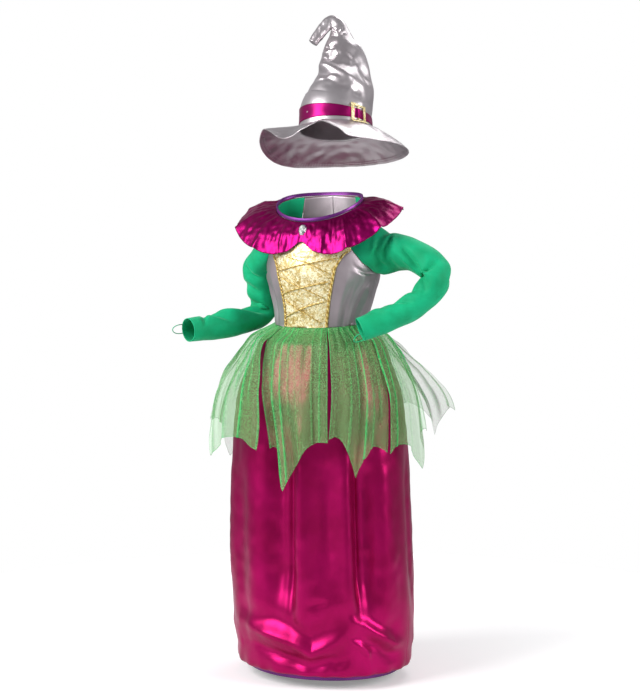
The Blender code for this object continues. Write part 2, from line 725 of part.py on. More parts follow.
def skirt_half(across, along, side):
    """Front or back of the skirt between the two side seams."""
    level = level_at(SKIRT_LEVELS, along)
    if row_of(along, len(SKIRT_LEVELS) - 1) < len(SKIRT_LEVELS) - SKIRT_FINE_ROWS:
        across = coarse(across, SKIRT_COLUMNS)
    middle = 0 if side > 0 else 180
    turn = middle + lerp(-90 + SEAM_TURN, 90 - SEAM_TURN, across)
    height = lerp(waist_height(turn) - SEAM, HEM_HEIGHT, level)
    drop = waist_height(turn) - SEAM - height
    wave = gather(across, SKIRT_GATHERS, drop, GATHER_DEPTH) + folds(turn, height)
    pucker = PUCKER_DEPTH * smooth((HEM_HEIGHT + 0.04 - height) / 0.04)
    wave -= pucker * cos(pi * HEM_PUCKERS * across)
    return skirt_shape(turn, height, wave)


def hem_band(across, along):
    """The narrow band that the bubble hem is gathered into."""
    turn = 360 * across - 180
    point = skirt_shape(turn, HEM_HEIGHT, PUCKER_DEPTH)
    point.z = HEM_HEIGHT - SEAM - HEM_BAND_HEIGHT * (1 - along)
    return point


# Overskirt


def petal_edge(top, middle, low, share):
    """An edge turn through its values at the waist, half way and the corner."""
    return (top * (1 - share) * (1 - 2 * share) + middle * 4 * share * (1 - share)
            + low * share * (2 * share - 1))


def petal_end(petal, place_across):
    """Height of the lower edge: two corners and a main point with hollow arches between."""
    if place_across < petal.main_share:
        share = (place_across + 1) / (petal.main_share + 1)
        straight = lerp(petal.left_end, petal.main_end, share)
    else:
        share = (place_across - petal.main_share) / (1 - petal.main_share)
        straight = lerp(petal.main_end, petal.right_end, share)
    return straight + PETAL_ARCH * sin(pi * share)


def petal_surface(petal):
    """The sheet of one petal."""
    def surface(across, along):
        level = level_at(PETAL_LEVELS, along)
        if row_of(along, len(PETAL_LEVELS) - 1) < len(PETAL_LEVELS) - PETAL_FINE_ROWS:
            across = coarse(across, PETAL_COLUMNS)
        left = petal_edge(petal.left_top, petal.left_mid, petal.left_low, level)
        right = petal_edge(petal.right_top, petal.right_mid, petal.right_low, level)
        turn = VIEW_TURN + lerp(left, right, across)
        top = waist_height(turn) - SEAM
        height = lerp(top, petal_end(petal, 2 * across - 1), level)
        drop = top - height
        spring = 1 - exp(-drop / GATHER_START)
        out = SKIRT_TOP_INSET + PETAL_SEAM_LIFT + PETAL_CLEARANCE * spring
        out += petal.flare_top * (1 - exp(-drop / FLARE_START))
        out += petal.flare_low * smooth(level)
        out += gather(across, PETAL_GATHERS, drop, GATHER_DEPTH * 1.3)
        out += PETAL_FLUTE_DEPTH * level * cos(2 * pi * PETAL_FLUTES * across + 0.8)
        return skirt_shape(turn, height, out)
    return surface


# Hat

HAT_FRAME = (Matrix.Translation(HAT_PLACE) @ Matrix.Rotation(radians(VIEW_TURN), 4, "Z")
             @ Matrix.Rotation(radians(HAT_TILT), 4, "X"))
BRIM_ROUND = all_round(BRIM)


def crown_ring(share):
    """Middle, sideways direction and half sizes of the crown at a share of its rows."""
    here = read(CROWN, share)
    ahead = read(CROWN, min(share + 0.1, CROWN[-1].share))
    behind = read(CROWN, max(share - 0.1, 0))
    rise = Vector((ahead.x - behind.x, 0, ahead.z - behind.z)).normalized()
    return Vector((here.x, 0, here.z)), Vector((rise.z, 0, -rise.x)), here


def crown_point(turn, share, out=0.0):
    """A point on the crown, in the costume's frame."""
    middle, sideways, row = crown_ring(share)
    angle = radians(turn)
    point = middle + sideways * ((row.half_width + out) * sin(angle))
    point += Vector((0, -(row.half_depth + out) * cos(angle), 0))
    return HAT_FRAME @ point


def crown(across, along):
    """The pointed crown, whose tip is folded over to one side and closed."""
    number = row_of(along, len(CROWN))
    if number == len(CROWN):
        return HAT_FRAME @ crown_ring(number - 1)[0]
    return crown_point(360 * across - 180, number)


def brim(across, along):
    """The wavy brim, from its outer edge (along 0) to the crown."""
    turn = 360 * across - 180
    row = read(BRIM_ROUND, turn)
    share = 1 - along
    radius = lerp(BRIM_INNER, row.radius, share)
    height = row.height * (0.55 * share + 0.45 * share * share)
    angle = radians(turn)
    return HAT_FRAME @ Vector((radius * sin(angle), -radius * cos(angle), height))


def band_point(turn, height, out):
    """A point on the crown's lowest stretch, which is straight from its first row to the next."""
    return lerp(crown_point(turn, 0, out), crown_point(turn, 1, out), height / CROWN[1].z)


def hat_band(across, along):
    """The ribbon round the crown, which rides over the buckle's middle bar."""
    turn = BAND_TURNS[row_of(across, len(BAND_TURNS) - 1)]
    over = RIBBON_OVER_BAR * (abs(turn - BUCKLE_TURN) < RIBBON_OVER_HALF)
    return band_point(turn, lerp(BAND_LOW, BAND_HIGH, along), RIBBON_LIFT + over)


def buckle_lines(size, inner):
    """Grid lines of the buckle one way: a rail, the inner stretch between two lines, a rail."""
    return (0, BUCKLE_RAIL, (size - inner) / 2, (size + inner) / 2, size - BUCKLE_RAIL, size)


ACROSS_LINES = buckle_lines(BUCKLE_WIDTH, BUCKLE_BAR)
ALONG_LINES = buckle_lines(BUCKLE_HEIGHT, BAND_HIGH - BAND_LOW + BAR_STEP)


def buckle(across, along):
    """The buckle, bent to the crown, with its lower end kicked out over the brim."""
    column = row_of(across, len(ACROSS_LINES) - 1)
    row = row_of(along, len(ALONG_LINES) - 1)
    sideways = ACROSS_LINES[column] - BUCKLE_WIDTH / 2
    height = (BAND_LOW + BAND_HIGH) / 2 + ALONG_LINES[row] - BUCKLE_HEIGHT / 2
    lift = BUCKLE_LIFT + BUCKLE_KICK * max(BUCKLE_KICK_FROM - height, 0)
    if row in (2, 3) and column in (2, 3):
        lift = BAR_LIFT
    turn = BUCKLE_TURN + sideways / CROWN[0].half_width * 180 / pi
    return band_point(turn, height, lift)


def buckle_window(across, along):
    """True in the two windows of the buckle."""
    column = int(across * (len(ACROSS_LINES) - 1))
    row = int(along * (len(ALONG_LINES) - 1))
    return column in (1, 3) and row in (1, 2, 3)


# Finishes

MAGENTA_SATIN = finish("magenta_satin", (0.30, 0.010, 0.165), 0.35)
MAGENTA_LAME = finish("magenta_lame", (0.36, 0.010, 0.200), 0.30, 0.4)
VIOLET_SATIN = finish("violet_satin", (0.26, 0.060, 0.330), 0.40)
SILVER_SATIN = finish("silver_satin", (0.50, 0.46, 0.51), 0.30, 0.3)
MAUVE_SATIN = finish("mauve_satin", (0.36, 0.30, 0.35), 0.35, 0.2)
GREEN_VELOUR = finish("green_velour", (0.004, 0.36, 0.13), 0.60)
GREEN_ORGANZA = finish("green_organza", (0.12, 0.52, 0.14), 0.45)
GOLD_LAME = finish("gold_lame", (0.72, 0.56, 0.20), 0.40, 0.5)
GOLD_TRIM = finish("gold_trim", (0.62, 0.44, 0.10), 0.35, 0.7)
GOLD_GLITTER = finish("gold_glitter", (0.76, 0.62, 0.22), 0.45, 0.5)
CRYSTAL = finish("crystal", (0.75, 0.84, 0.80), 0.10)
SILVER_METAL = finish("silver_metal", (0.62, 0.62, 0.64), 0.25, 0.9)

# Assembly, from the skin of the dress outwards

cloth("front_panel", front_panel, 10, len(FRONT_EDGE_ROWS) - 1, GOLD_LAME)
for side_name, side in (("left", 1), ("right", -1)):
    cloth(f"side_front_{side_name}", mirrored(side_front, side), 5, len(SIDE_FRONT) - 1,
          MAUVE_SATIN)
    cloth(f"back_{side_name}", mirrored(back_panel, side), 7, SIDE_SEAM_ROWS + len(RAGLAN) - 2,
          MAUVE_SATIN)
    cloth(f"braid_{side_name}", mirrored(braid, side), 1, 2 * BRAID_SCALLOPS, GOLD_TRIM,
          BRAID_THICKNESS)
for side_name, side, table in (("left", 1, LEFT_SLEEVE), ("right", -1, RIGHT_SLEEVE)):
    cuff_ring = sleeve(f"sleeve_{side_name}", table, side, GREEN_VELOUR)
    finger_loop(f"finger_loop_{side_name}", cuff_ring, side, GREEN_VELOUR)
cloth("collar", collar, COLLAR_FLUTES * 4, 4, MAGENTA_LAME)
cloth("neck_binding", binding, 40, 1, VIOLET_SATIN, BINDING_THICKNESS)
brooch(SILVER_METAL, CRYSTAL)
laces(GOLD_TRIM)
cloth("skirt_front", lambda across, along: skirt_half(across, along, 1), SKIRT_COLUMNS * 3,
      len(SKIRT_LEVELS) - 1, MAGENTA_SATIN)
cloth("skirt_back", lambda across, along: skirt_half(across, along, -1), SKIRT_COLUMNS * 3,
      len(SKIRT_LEVELS) - 1, MAGENTA_SATIN)
cloth("hem_band", hem_band, 40, 1, VIOLET_SATIN, HEM_BAND_WALL)
for number, petal_row in enumerate(PETALS):
    cloth(f"petal_{number + 1}", petal_surface(petal_row), PETAL_COLUMNS * 2,
          len(PETAL_LEVELS) - 1, GREEN_ORGANZA, ORGANZA)
cloth("hat_crown", crown, CROWN_COLUMNS, len(CROWN), SILVER_SATIN)
cloth("hat_brim", brim, BRIM_COLUMNS, 4, SILVER_SATIN)
cloth("hat_band", hat_band, len(BAND_TURNS) - 1, 1, MAGENTA_LAME, RIBBON)
cloth("hat_buckle", buckle, len(ACROSS_LINES) - 1, len(ALONG_LINES) - 1, GOLD_GLITTER,
      BUCKLE_THICKNESS, buckle_window)
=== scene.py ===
from collections import namedtuple
from functools import partial
from math import cos, pi, radians, sin

import bmesh
import bpy
import numpy as np
from mathutils import Matrix, Vector, noise


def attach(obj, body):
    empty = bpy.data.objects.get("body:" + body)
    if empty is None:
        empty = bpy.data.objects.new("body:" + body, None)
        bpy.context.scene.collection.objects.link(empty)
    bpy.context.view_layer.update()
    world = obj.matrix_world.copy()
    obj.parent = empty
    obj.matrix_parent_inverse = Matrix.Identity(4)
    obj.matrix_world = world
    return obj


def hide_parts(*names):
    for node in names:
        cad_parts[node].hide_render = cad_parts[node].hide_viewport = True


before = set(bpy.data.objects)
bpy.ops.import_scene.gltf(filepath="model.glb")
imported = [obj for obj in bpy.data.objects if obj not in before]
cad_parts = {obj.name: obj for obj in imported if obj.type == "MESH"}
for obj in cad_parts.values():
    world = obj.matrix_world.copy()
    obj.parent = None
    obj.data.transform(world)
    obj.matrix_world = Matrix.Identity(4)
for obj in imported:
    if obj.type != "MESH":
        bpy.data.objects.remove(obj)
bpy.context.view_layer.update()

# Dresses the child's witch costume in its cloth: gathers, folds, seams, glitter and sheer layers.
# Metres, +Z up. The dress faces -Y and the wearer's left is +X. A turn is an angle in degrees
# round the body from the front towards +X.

# Studio: a pale floor at the wearer's feet, a broad soft light from the front, a weaker one from
# the wearer's left and one high up behind, in a grey room that the camera sees as white.

NECK_ABOVE_FLOOR = 1.025
VIEW_TURN = 26.0
CAMERA_DISTANCE = 3.6
CAMERA_HEIGHT = -0.075
AIM_HEIGHT = -0.31
LENS = 84.3
FLOOR_RADIUS = 1.4
FLOOR_GLOW = {"From Min": 1.05, "From Max": 1.7, "To Min": 0.25, "To Max": 0.60}
LAMP_AIM = Vector((0, 0, -0.35))

studio = bpy.data.collections.new("studio")
bpy.context.scene.collection.children.link(studio)
bpy.context.scene.view_settings.view_transform = "Standard"


def table(columns, *rows):
    """A short table with named columns."""
    Row = namedtuple("Row", columns)
    return tuple(Row(*row) for row in rows)


def round_about(turn, distance, height):
    """A point at a turn and a distance from the upright line through the neck."""
    angle = radians(turn)
    return Vector((distance * sin(angle), -distance * cos(angle), height))


def aimed(name, data, place, target):
    """Sets a camera or light at a place, looking at a target."""
    tool = bpy.data.objects.new(name, data)
    studio.objects.link(tool)
    tool.location = place
    tool.rotation_euler = (target - place).to_track_quat("-Z", "Y").to_euler()
    return tool


lens = bpy.data.cameras.new("camera")
lens.lens = LENS
bpy.context.scene.camera = aimed("camera", lens, round_about(VIEW_TURN, CAMERA_DISTANCE, CAMERA_HEIGHT),
                                 Vector((0, 0, AIM_HEIGHT)))

LAMPS = table(
    "name turn distance height size power",
    ("key", -34.0, 2.6, 1.00, 1.9, 104.0),
    ("fill", 88.0, 2.6, 0.5, 1.3, 44.0),
    ("overhead", 170.0, 1.6, 2.1, 1.6, 24.0),
)
for lamp in LAMPS:
    light = bpy.data.lights.new(lamp.name, "AREA")
    light.size = lamp.size
    light.energy = lamp.power
    place = round_about(lamp.turn, lamp.distance, lamp.height)
    aimed(lamp.name, light, place, LAMP_AIM).visible_camera = False


def node(tree, kind, inputs=(), **settings):
    """Adds a shader node; an input is given a number, a colour or another node's output."""
    made = tree.nodes.new("ShaderNode" + kind)
    for name, value in settings.items():
        setattr(made, name, value)
    for name, value in dict(inputs).items():
        if isinstance(value, bpy.types.NodeSocket):
            tree.links.new(value, made.inputs[name])
        else:
            made.inputs[name].default_value = value
    return made


def ramp(tree, share, stops):
    """A colour ramp through (position, colour) stops."""
    made = node(tree, "ValToRGB", {"Fac": share})
    while len(made.color_ramp.elements) < len(stops):
        made.color_ramp.elements.new(0.5)
    for element, (position, colour) in zip(made.color_ramp.elements, stops):
        element.position = position
        element.color = (*colour, 1.0)
    return made.outputs["Color"]


room = bpy.data.worlds.new("room")
bpy.context.scene.world = room
room.use_nodes = True
surround = room.node_tree
direction = node(surround, "TexCoord").outputs["Generated"]
rise = node(surround, "SeparateXYZ", {"Vector": direction}).outputs["Z"]
walls = ramp(surround, rise, ((0.0, (0.26, 0.26, 0.27)), (0.20, (0.40, 0.40, 0.41)),
                              (0.70, (0.22, 0.22, 0.23))))
seen = node(surround, "LightPath").outputs["Is Camera Ray"]
shade = node(surround, "Mix", {"Factor": seen, "A": walls, "B": (1.0, 1.0, 1.0, 1.0)}, data_type="RGBA")
surround.links.new(shade.outputs["Result"], surround.nodes["Background"].inputs["Color"])
surround.nodes["Background"].inputs["Strength"].default_value = 1.0


def new_finish(name, sockets):
    """Starts a material, with what is the same all over it set on its shader's own sockets."""
    material = bpy.data.materials.new(name)
    material.use_nodes = True
    shader = material.node_tree.nodes["Principled BSDF"]
    for socket, value in sockets.items():
        shader.inputs[socket].default_value = value
    return material, material.node_tree, shader


pale, pale_tree, pale_shader = new_finish("pale_floor", {"Roughness": 0.85})
spot = node(pale_tree, "TexCoord").outputs["Object"]
grain = node(pale_tree, "TexNoise", {"Vector": spot, "Scale": 3.0, "Detail": 3.0}).outputs["Fac"]
pale_tree.links.new(ramp(pale_tree, grain, ((0.3, (0.86, 0.86, 0.865)), (0.7, (0.90, 0.90, 0.90)))),
                    pale_shader.inputs["Base Color"])
pale_shader.inputs["Emission Color"].default_value = (1.0, 1.0, 1.0, 1.0)
away = node(pale_tree, "VectorMath", {0: spot}, operation="LENGTH").outputs["Value"]
glow = node(pale_tree, "MapRange", {"Value": away, **FLOOR_GLOW}).outputs["Result"]
looked_at = node(pale_tree, "LightPath").outputs["Is Camera Ray"]
white_out = node(pale_tree, "Math", {0: glow, 1: looked_at}, operation="MULTIPLY").outputs[0]
pale_tree.links.new(white_out, pale_shader.inputs["Emission Strength"])
ground = bmesh.new()
bmesh.ops.create_circle(ground, cap_ends=True, segments=96, radius=FLOOR_RADIUS,
                        matrix=Matrix.Translation((0, 0, -NECK_ABOVE_FLOOR)))
floor_mesh = bpy.data.meshes.new("floor")
ground.to_mesh(floor_mesh)
ground.free()
floor_mesh.materials.append(pale)
floor = bpy.data.objects.new("floor", floor_mesh)
studio.objects.link(floor)

# Gold front: a panel of stretch cloth printed with gold glitter, from the waist seam to the
# neckline, widest at the chest, where it runs out into two tips beside the sleeves.

CLOTH = 0.0012
WELD = 0.00002
SEAM = 0.0003
SEAM_TURN = 0.13
WAIST_HEIGHT = -0.247
WAIST_DIP = 0.010
NECK_FRONT = -0.030
NECK_BACK = 0.030
NECK_SIDE_RISE = 0.012

TORSO = table(
    "height half_width half_depth shift",
    (-0.270, 0.1045, 0.0845, 0.003),
    (-0.247, 0.1050, 0.0850, 0.003),
    (-0.220, 0.1080, 0.0880, 0.005),
    (-0.180, 0.1180, 0.0950, 0.007),
    (-0.141, 0.1290, 0.1010, 0.008),
    (-0.100, 0.1280, 0.0980, 0.008),
    (-0.065, 0.1190, 0.0880, 0.005),
    (-0.030, 0.1050, 0.0730, 0.002),
    (0.000, 0.0990, 0.0690, 0.000),
    (0.040, 0.0950, 0.0660, 0.000),
)
# The two seams beside the gold front and the raglan seams, numbered from the waist up
FRONT_EDGE = table(
    "row height turn",
    (0, -0.270, 30.0),
    (1, -0.228, 30.2),
    (2, -0.200, 30.5),
    (3, -0.175, 31.2),
    (4, -0.150, 32.0),
    (5, -0.130, 33.5),
    (6, -0.115, 37.0),
    (7, -0.100, 42.5),
    (8, -0.0885, 50.0),
    (9, -0.0680, 46.5),
    (10, -0.0450, 43.3),
    (11, -0.0180, 40.0),
)
TIP_ROW = 8


def hermite(start, end, leave, arrive, share):
    """A cubic between two values with a slope at each end."""
    left = 1 - share
    return (start * (1 + 2 * share) * left * left + leave * share * left * left
            + end * (3 - 2 * share) * share * share - arrive * left * share * share)


def read(rows, key):
    """Reads a table between its rows by its first column, as smooth curves through them."""
    grid = np.array(rows, dtype=float)
    knots = grid[:, 0]
    key = np.clip(key, knots[0], knots[-1])
    upper = np.clip(np.searchsorted(knots, key), 1, len(knots) - 1)
    low = upper - 1
    before = np.maximum(low - 1, 0)
    after = np.minimum(upper + 1, len(knots) - 1)
    span = knots[upper] - knots[low]
    values = []
    for column in grid.T:
        leave = span * (column[upper] - column[before]) / (knots[upper] - knots[before])
        arrive = span * (column[after] - column[low]) / (knots[after] - knots[low])
        values.append(hermite(column[low], column[upper], leave, arrive, (key - knots[low]) / span))
    return type(rows[0])(*values)


def lerp(start, end, share):
    """Goes from start to end in a straight line."""
    return start + (end - start) * share


def smooth(share):
    """Rises from nought to one with level ends."""
    share = np.clip(share, 0.0, 1.0)
    return share * share * (3 - 2 * share)


def oval(turn, height, half_width, half_depth, shift, out=0.0):
    """Points on an oval round the body, moved out from it."""
    angle = np.radians(turn)
    across, ahead = np.sin(angle), -np.cos(angle)
    size = np.hypot(across / half_width, ahead / half_depth)
    return np.stack(np.broadcast_arrays(
        shift + half_width * across + out * across / half_width / size,
        half_depth * ahead + out * ahead / half_depth / size, height), axis=-1)


def torso(turn, height, out=0.0):
    """Points on the body of the dress, or moved out from it."""
    row = read(TORSO, height)
    return oval(turn, height, row.half_width, row.half_depth, row.shift, out)


def neck_height(turn):
    """Height of the neckline, lowest at the front."""
    angle = np.radians(turn)
    return lerp(NECK_FRONT, NECK_BACK, (1 - np.cos(angle)) / 2) + NECK_SIDE_RISE * np.sin(angle) ** 2


def waist_height(turn):
    """Height of the waist seam, which dips at the front."""
    return WAIST_HEIGHT - WAIST_DIP * np.cos(np.radians(turn))


def wander(points, size, seed):
    """Slow random waves from -1 to 1 at the points, of about the size given."""
    shift = Vector((seed * 7.3, seed * 3.1, seed * 5.7))
    flat = points.reshape(-1, 3)
    waves = [noise.noise(Vector(point) / size + shift) for point in flat]
    return np.array(waves).reshape(points.shape[:-1])


def press(across, along, scale, creases):
    """Ridges and troughs along routes, in the sheet's two directions, that fade at their ends."""
    total = np.zeros_like(across)
    for crease in creases:
        stops = np.array(crease.route, dtype=float) * scale
        legs = np.linalg.norm(np.diff(stops, axis=0), axis=1)
        nearest = np.full_like(across, 9.0)
        run = np.zeros_like(across)
        for number, (start, end) in enumerate(zip(stops, stops[1:])):
            way = (end - start) / legs[number]
            ahead = np.clip((across * scale[0] - start[0]) * way[0] + (along * scale[1] - start[1]) * way[1],
                            0, legs[number])
            away = np.hypot(across * scale[0] - start[0] - ahead * way[0],
                            along * scale[1] - start[1] - ahead * way[1])
            closer = away < nearest
            nearest = np.where(closer, away, nearest)
            run = np.where(closer, legs[:number].sum() + ahead, run)
        fade = smooth(run / legs.sum() * 3) * smooth((1 - run / legs.sum()) * 3)
        total += crease.depth * np.exp(-(nearest / crease.width) ** 2) * (0.25 + 0.75 * fade)
    return total


COSTUME = bpy.data.collections.new("costume")
bpy.context.scene.collection.children.link(COSTUME)


def dress(name, mesh, material, nodes):
    """Puts a finished mesh in the costume in place of its solids."""
    piece = bpy.data.objects.new(name, mesh)
    mesh.materials.append(material)
    COSTUME.objects.link(piece)
    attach(piece, "root")
    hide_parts(*nodes)
    return piece


def sew(name, surface, columns, rows, flat, relief=None):
    """Makes one sheet: a grid laid on surface(across, along), which is the outside of the cloth.

    Both run from 0 to 1, and across turned towards along gives the outside. The relief moves the
    cloth out. The weave map measures the flat cloth in metres.
    """
    sheet = bmesh.new()
    sheet.loops.layers.uv.new("weave")
    bmesh.ops.create_grid(sheet, x_segments=columns, y_segments=rows, size=0.5, calc_uvs=True)
    mesh = bpy.data.meshes.new(name)
    sheet.to_mesh(mesh)
    places = np.empty(len(mesh.vertices) * 3)
    mesh.vertices.foreach_get("co", places)
    places = places.reshape(-1, 3)[:, :2] + 0.5
    net = np.lexsort((places[:, 0].round(6), places[:, 1].round(6))).reshape(rows + 1, columns + 1)
    across, along = places[net, 0], places[net, 1]
    points = surface(across, along)
    if relief is not None:
        over = np.gradient(points, axis=1)
        closed = np.linalg.norm(points[:, 0] - points[:, -1], axis=-1) < 0.00001
        over[closed, 0] = over[closed, -1] = (points[closed, 1] - points[closed, -2]) / 2
        outward = np.cross(over, np.gradient(points, axis=0))
        size = np.linalg.norm(outward, axis=-1, keepdims=True)
        outward = np.divide(outward, size, out=np.zeros_like(outward), where=size > 1e-12)
        points = points + outward * relief(across, along, points)[..., None]
    final = np.empty_like(points.reshape(-1, 3))
    final[net.ravel()] = points.reshape(-1, 3)
    for vertex, place in zip(sheet.verts, final):
        vertex.co = place
    threads = sheet.loops.layers.uv["weave"]
    for face in sheet.faces:
        for corner in face.loops:
            corner[threads].uv = (corner[threads].uv.x * flat[0], corner[threads].uv.y * flat[1])
    bmesh.ops.remove_doubles(sheet, verts=sheet.verts, dist=WELD)
    sheet.to_mesh(mesh)
    sheet.free()
    mesh.shade_smooth()
    return mesh


def thicken(piece, wall):
    """Gives a piece its wall, on the inner side."""
    thickness = piece.modifiers.new("Wall", "SOLIDIFY")
    thickness.thickness = wall
    thickness.offset = -1


def wear(name, mesh, material, nodes, wall=CLOTH):
    """Hangs a sewn sheet on the costume, with its wall."""
    piece = dress(name, mesh, material, nodes)
    thicken(piece, wall)


def glitter_finish(name, dark, middle, light, flake, shine):
    """Cloth or board covered in glitter: flakes of several tones, each tipped its own way."""
    material, tree, shader = new_finish(name, {"Metallic": shine, "Specular IOR Level": 0.6})
    where = node(tree, "TexCoord").outputs["Object"]
    fine = node(tree, "TexVoronoi", {"Vector": where, "Scale": 1 / flake})
    coarse = node(tree, "TexVoronoi", {"Vector": where, "Scale": 0.4 / flake})
    fine_tone = node(tree, "SeparateColor", {"Color": fine.outputs["Color"]})
    coarse_tone = node(tree, "SeparateColor", {"Color": coarse.outputs["Color"]})
    patch = node(tree, "TexNoise", {"Vector": where, "Scale": 40.0, "Detail": 2.0}).outputs["Fac"]
    mixed = node(tree, "Math", {0: fine_tone.outputs["Red"], 1: coarse_tone.outputs["Red"]},
                 operation="ADD").outputs[0]
    toned = node(tree, "Math", {0: mixed, 1: 0.42, 2: 0.0}, operation="MULTIPLY_ADD").outputs[0]
    lifted = node(tree, "Math", {0: patch, 1: 0.5, 2: toned}, operation="MULTIPLY_ADD").outputs[0]
    colour = ramp(tree, lifted, ((0.30, dark), (0.62, middle), (0.90, light)))
    tree.links.new(colour, shader.inputs["Base Color"])
    rough = node(tree, "MapRange", {"Value": fine_tone.outputs["Green"], "To Min": 0.22, "To Max": 0.6})
    tree.links.new(rough.outputs["Result"], shader.inputs["Roughness"])
    bump = node(tree, "Bump", {"Height": fine_tone.outputs["Blue"], "Strength": 0.6,
                               "Distance": flake * 0.35})
    tree.links.new(bump.outputs["Normal"], shader.inputs["Normal"])
    return material


GOLD_LAME = glitter_finish("gold_lame_cloth", (0.42, 0.27, 0.05), (0.74, 0.59, 0.26), (1.0, 0.95, 0.68),
                           0.0022, 0.35)


def front_edge(along):
    """Height and turn of the gold front's left edge."""
    return read(FRONT_EDGE, along * (len(FRONT_EDGE) - 1))


def gold_front(across, along):
    """The gold front, from waist to neckline between its two curved edges."""
    edge = front_edge(along)
    bottom = waist_height(edge.turn)
    top = neck_height(edge.turn) - SEAM
    share = (np.clip(edge.height, bottom, top) - bottom) / (top - bottom)
    turn = (2 * across - 1) * (edge.turn - SEAM_TURN)
    return torso(turn, lerp(waist_height(turn), neck_height(turn) - SEAM, share))


CREASE = "route width depth"
FRONT_PULLS = table(
    CREASE,
    (((0.05, 0.46), (0.35, 0.40), (0.62, 0.33)), 0.010, -0.0012),
    (((0.95, 0.40), (0.70, 0.36), (0.40, 0.42)), 0.009, 0.0012),
    (((0.10, 0.22), (0.45, 0.12), (0.80, 0.05)), 0.008, -0.0010),
    (((0.30, 0.80), (0.50, 0.74), (0.75, 0.78)), 0.012, 0.0014),
)
FRONT_FLAT = (0.215, 0.235)
FRONT_EASE = 0.0008


def front_relief(across, along, points):
    """Slight pulls under the laces and ease at the waist seam."""
    seam = smooth(along * 8) * smooth((1 - along) * 8) * smooth(across * 8) * smooth((1 - across) * 8)
    return seam * (press(across, along, FRONT_FLAT, FRONT_PULLS) + FRONT_EASE * wander(points, 0.03, 1))


mesh = sew("gold_front", gold_front, 90, 110, FRONT_FLAT, front_relief)
wear("gold_front", mesh, GOLD_LAME, ("front_panel",))

# Side fronts and back: mauve satin panels. The front ones meet the gold front in a curved seam
# and are eased into the waist; the back closes in a centre seam.

SIDE_SEAM = table(
    "row height turn",
    (0, -0.270, 90.0),
    (1, -0.222, 90.0),
    (2, -0.195, 90.0),
    (3, -0.168, 90.0),
    (4, -0.141, 90.0),
)
RAGLAN = table(
    "row share front_turn front_height back_turn back_height",
    (0, 0.00, 90.0, -0.1410, 90.0, -0.141),
    (1, 0.12, 83.0, -0.1380, 97.0, -0.138),
    (2, 0.26, 75.0, -0.1300, 105.0, -0.130),
    (3, 0.40, 63.0, -0.1180, 117.0, -0.118),
    (4, 0.52, 55.0, -0.1010, 125.0, -0.098),
    (5, 0.63, 50.5, -0.0885, 130.0, -0.080),
    (6, 0.75, 46.5, -0.0680, 134.0, -0.052),
    (7, 0.87, 43.3, -0.0450, 137.0, -0.014),
    (8, 1.00, 40.0, -0.0180, 140.0, 0.026),
)
UNDERARM_ROW = 4


def outer_edge(row, front):
    """Height and turn of the side seam up to the underarm, then of the raglan seam."""
    seam = read(SIDE_SEAM, row)
    raglan = read(RAGLAN, row - UNDERARM_ROW)
    below = row < UNDERARM_ROW
    height = np.where(below, seam.height, raglan.front_height if front else raglan.back_height)
    return height, np.where(below, seam.turn, raglan.front_turn if front else raglan.back_turn)


def body_point(turn, height):
    """Points of a body panel, kept between the waist seam and the neckline."""
    return torso(turn, np.clip(height, waist_height(turn), neck_height(turn) - SEAM))


def side_front(across, along, side):
    """A side front, from the gold edge to the side seam and the raglan seam."""
    row = along * TIP_ROW
    inner = read(FRONT_EDGE, row)
    outer_height, outer_turn = outer_edge(row, True)
    turn = lerp(inner.turn + SEAM_TURN, outer_turn - SEAM_TURN * 2, across)
    return body_point(side * turn, lerp(inner.height, outer_height - SEAM, across))


def back_panel(across, along, side):
    """One half of the back, from the side seam and the raglan seam to the centre seam."""
    outer_height, outer_turn = outer_edge(along * (UNDERARM_ROW + len(RAGLAN) - 1), False)
    turn = lerp(outer_turn + SEAM_TURN * 2, 180 - SEAM_TURN, across)
    height = lerp(outer_height - SEAM, lerp(waist_height(180), neck_height(180), along), across)
    return body_point(side * turn, height)


def mirrored(surface, side):
    """Runs a sheet of the other side backwards, so that its outside stays outside."""
    def sheet(across, along, *more):
        return surface(across if side > 0 else 1 - across, along, *more, side)
    return sheet


def satin_finish(name, colour, light, metallic, roughness, bump=0.12):
    """Satin: smooth floats along the warp, a soft coloured shine and faint uneven tone."""
    material, tree, shader = new_finish(name, {"Metallic": metallic, "Specular IOR Level": 0.3})
    threads = node(tree, "UVMap", uv_map="weave").outputs["UV"]
    where = node(tree, "TexCoord").outputs["Object"]
    slow = node(tree, "TexNoise", {"Vector": where, "Scale": 14.0, "Detail": 3.0}).outputs["Fac"]
    colour_here = ramp(tree, slow, ((0.32, colour), (0.68, light)))
    tree.links.new(colour_here, shader.inputs["Base Color"])
    drawn = node(tree, "Mapping", {"Vector": threads, "Scale": (2600.0, 240.0, 1.0)})
    floats = node(tree, "TexNoise", {"Vector": drawn.outputs["Vector"], "Scale": 1.0, "Detail": 2.0})
    rough = node(tree, "MapRange", {"Value": floats.outputs["Fac"], "From Min": 0.3, "From Max": 0.7,
                                    "To Min": roughness - 0.04, "To Max": roughness + 0.05})
    tree.links.new(rough.outputs["Result"], shader.inputs["Roughness"])
    relief = node(tree, "Bump", {"Height": floats.outputs["Fac"], "Strength": bump, "Distance": 0.0002})
    tree.links.new(relief.outputs["Normal"], shader.inputs["Normal"])
    return material


MAUVE_SATIN = satin_finish("mauve_satin_cloth", (0.38, 0.32, 0.35), (0.48, 0.42, 0.45), 0.65, 0.40)

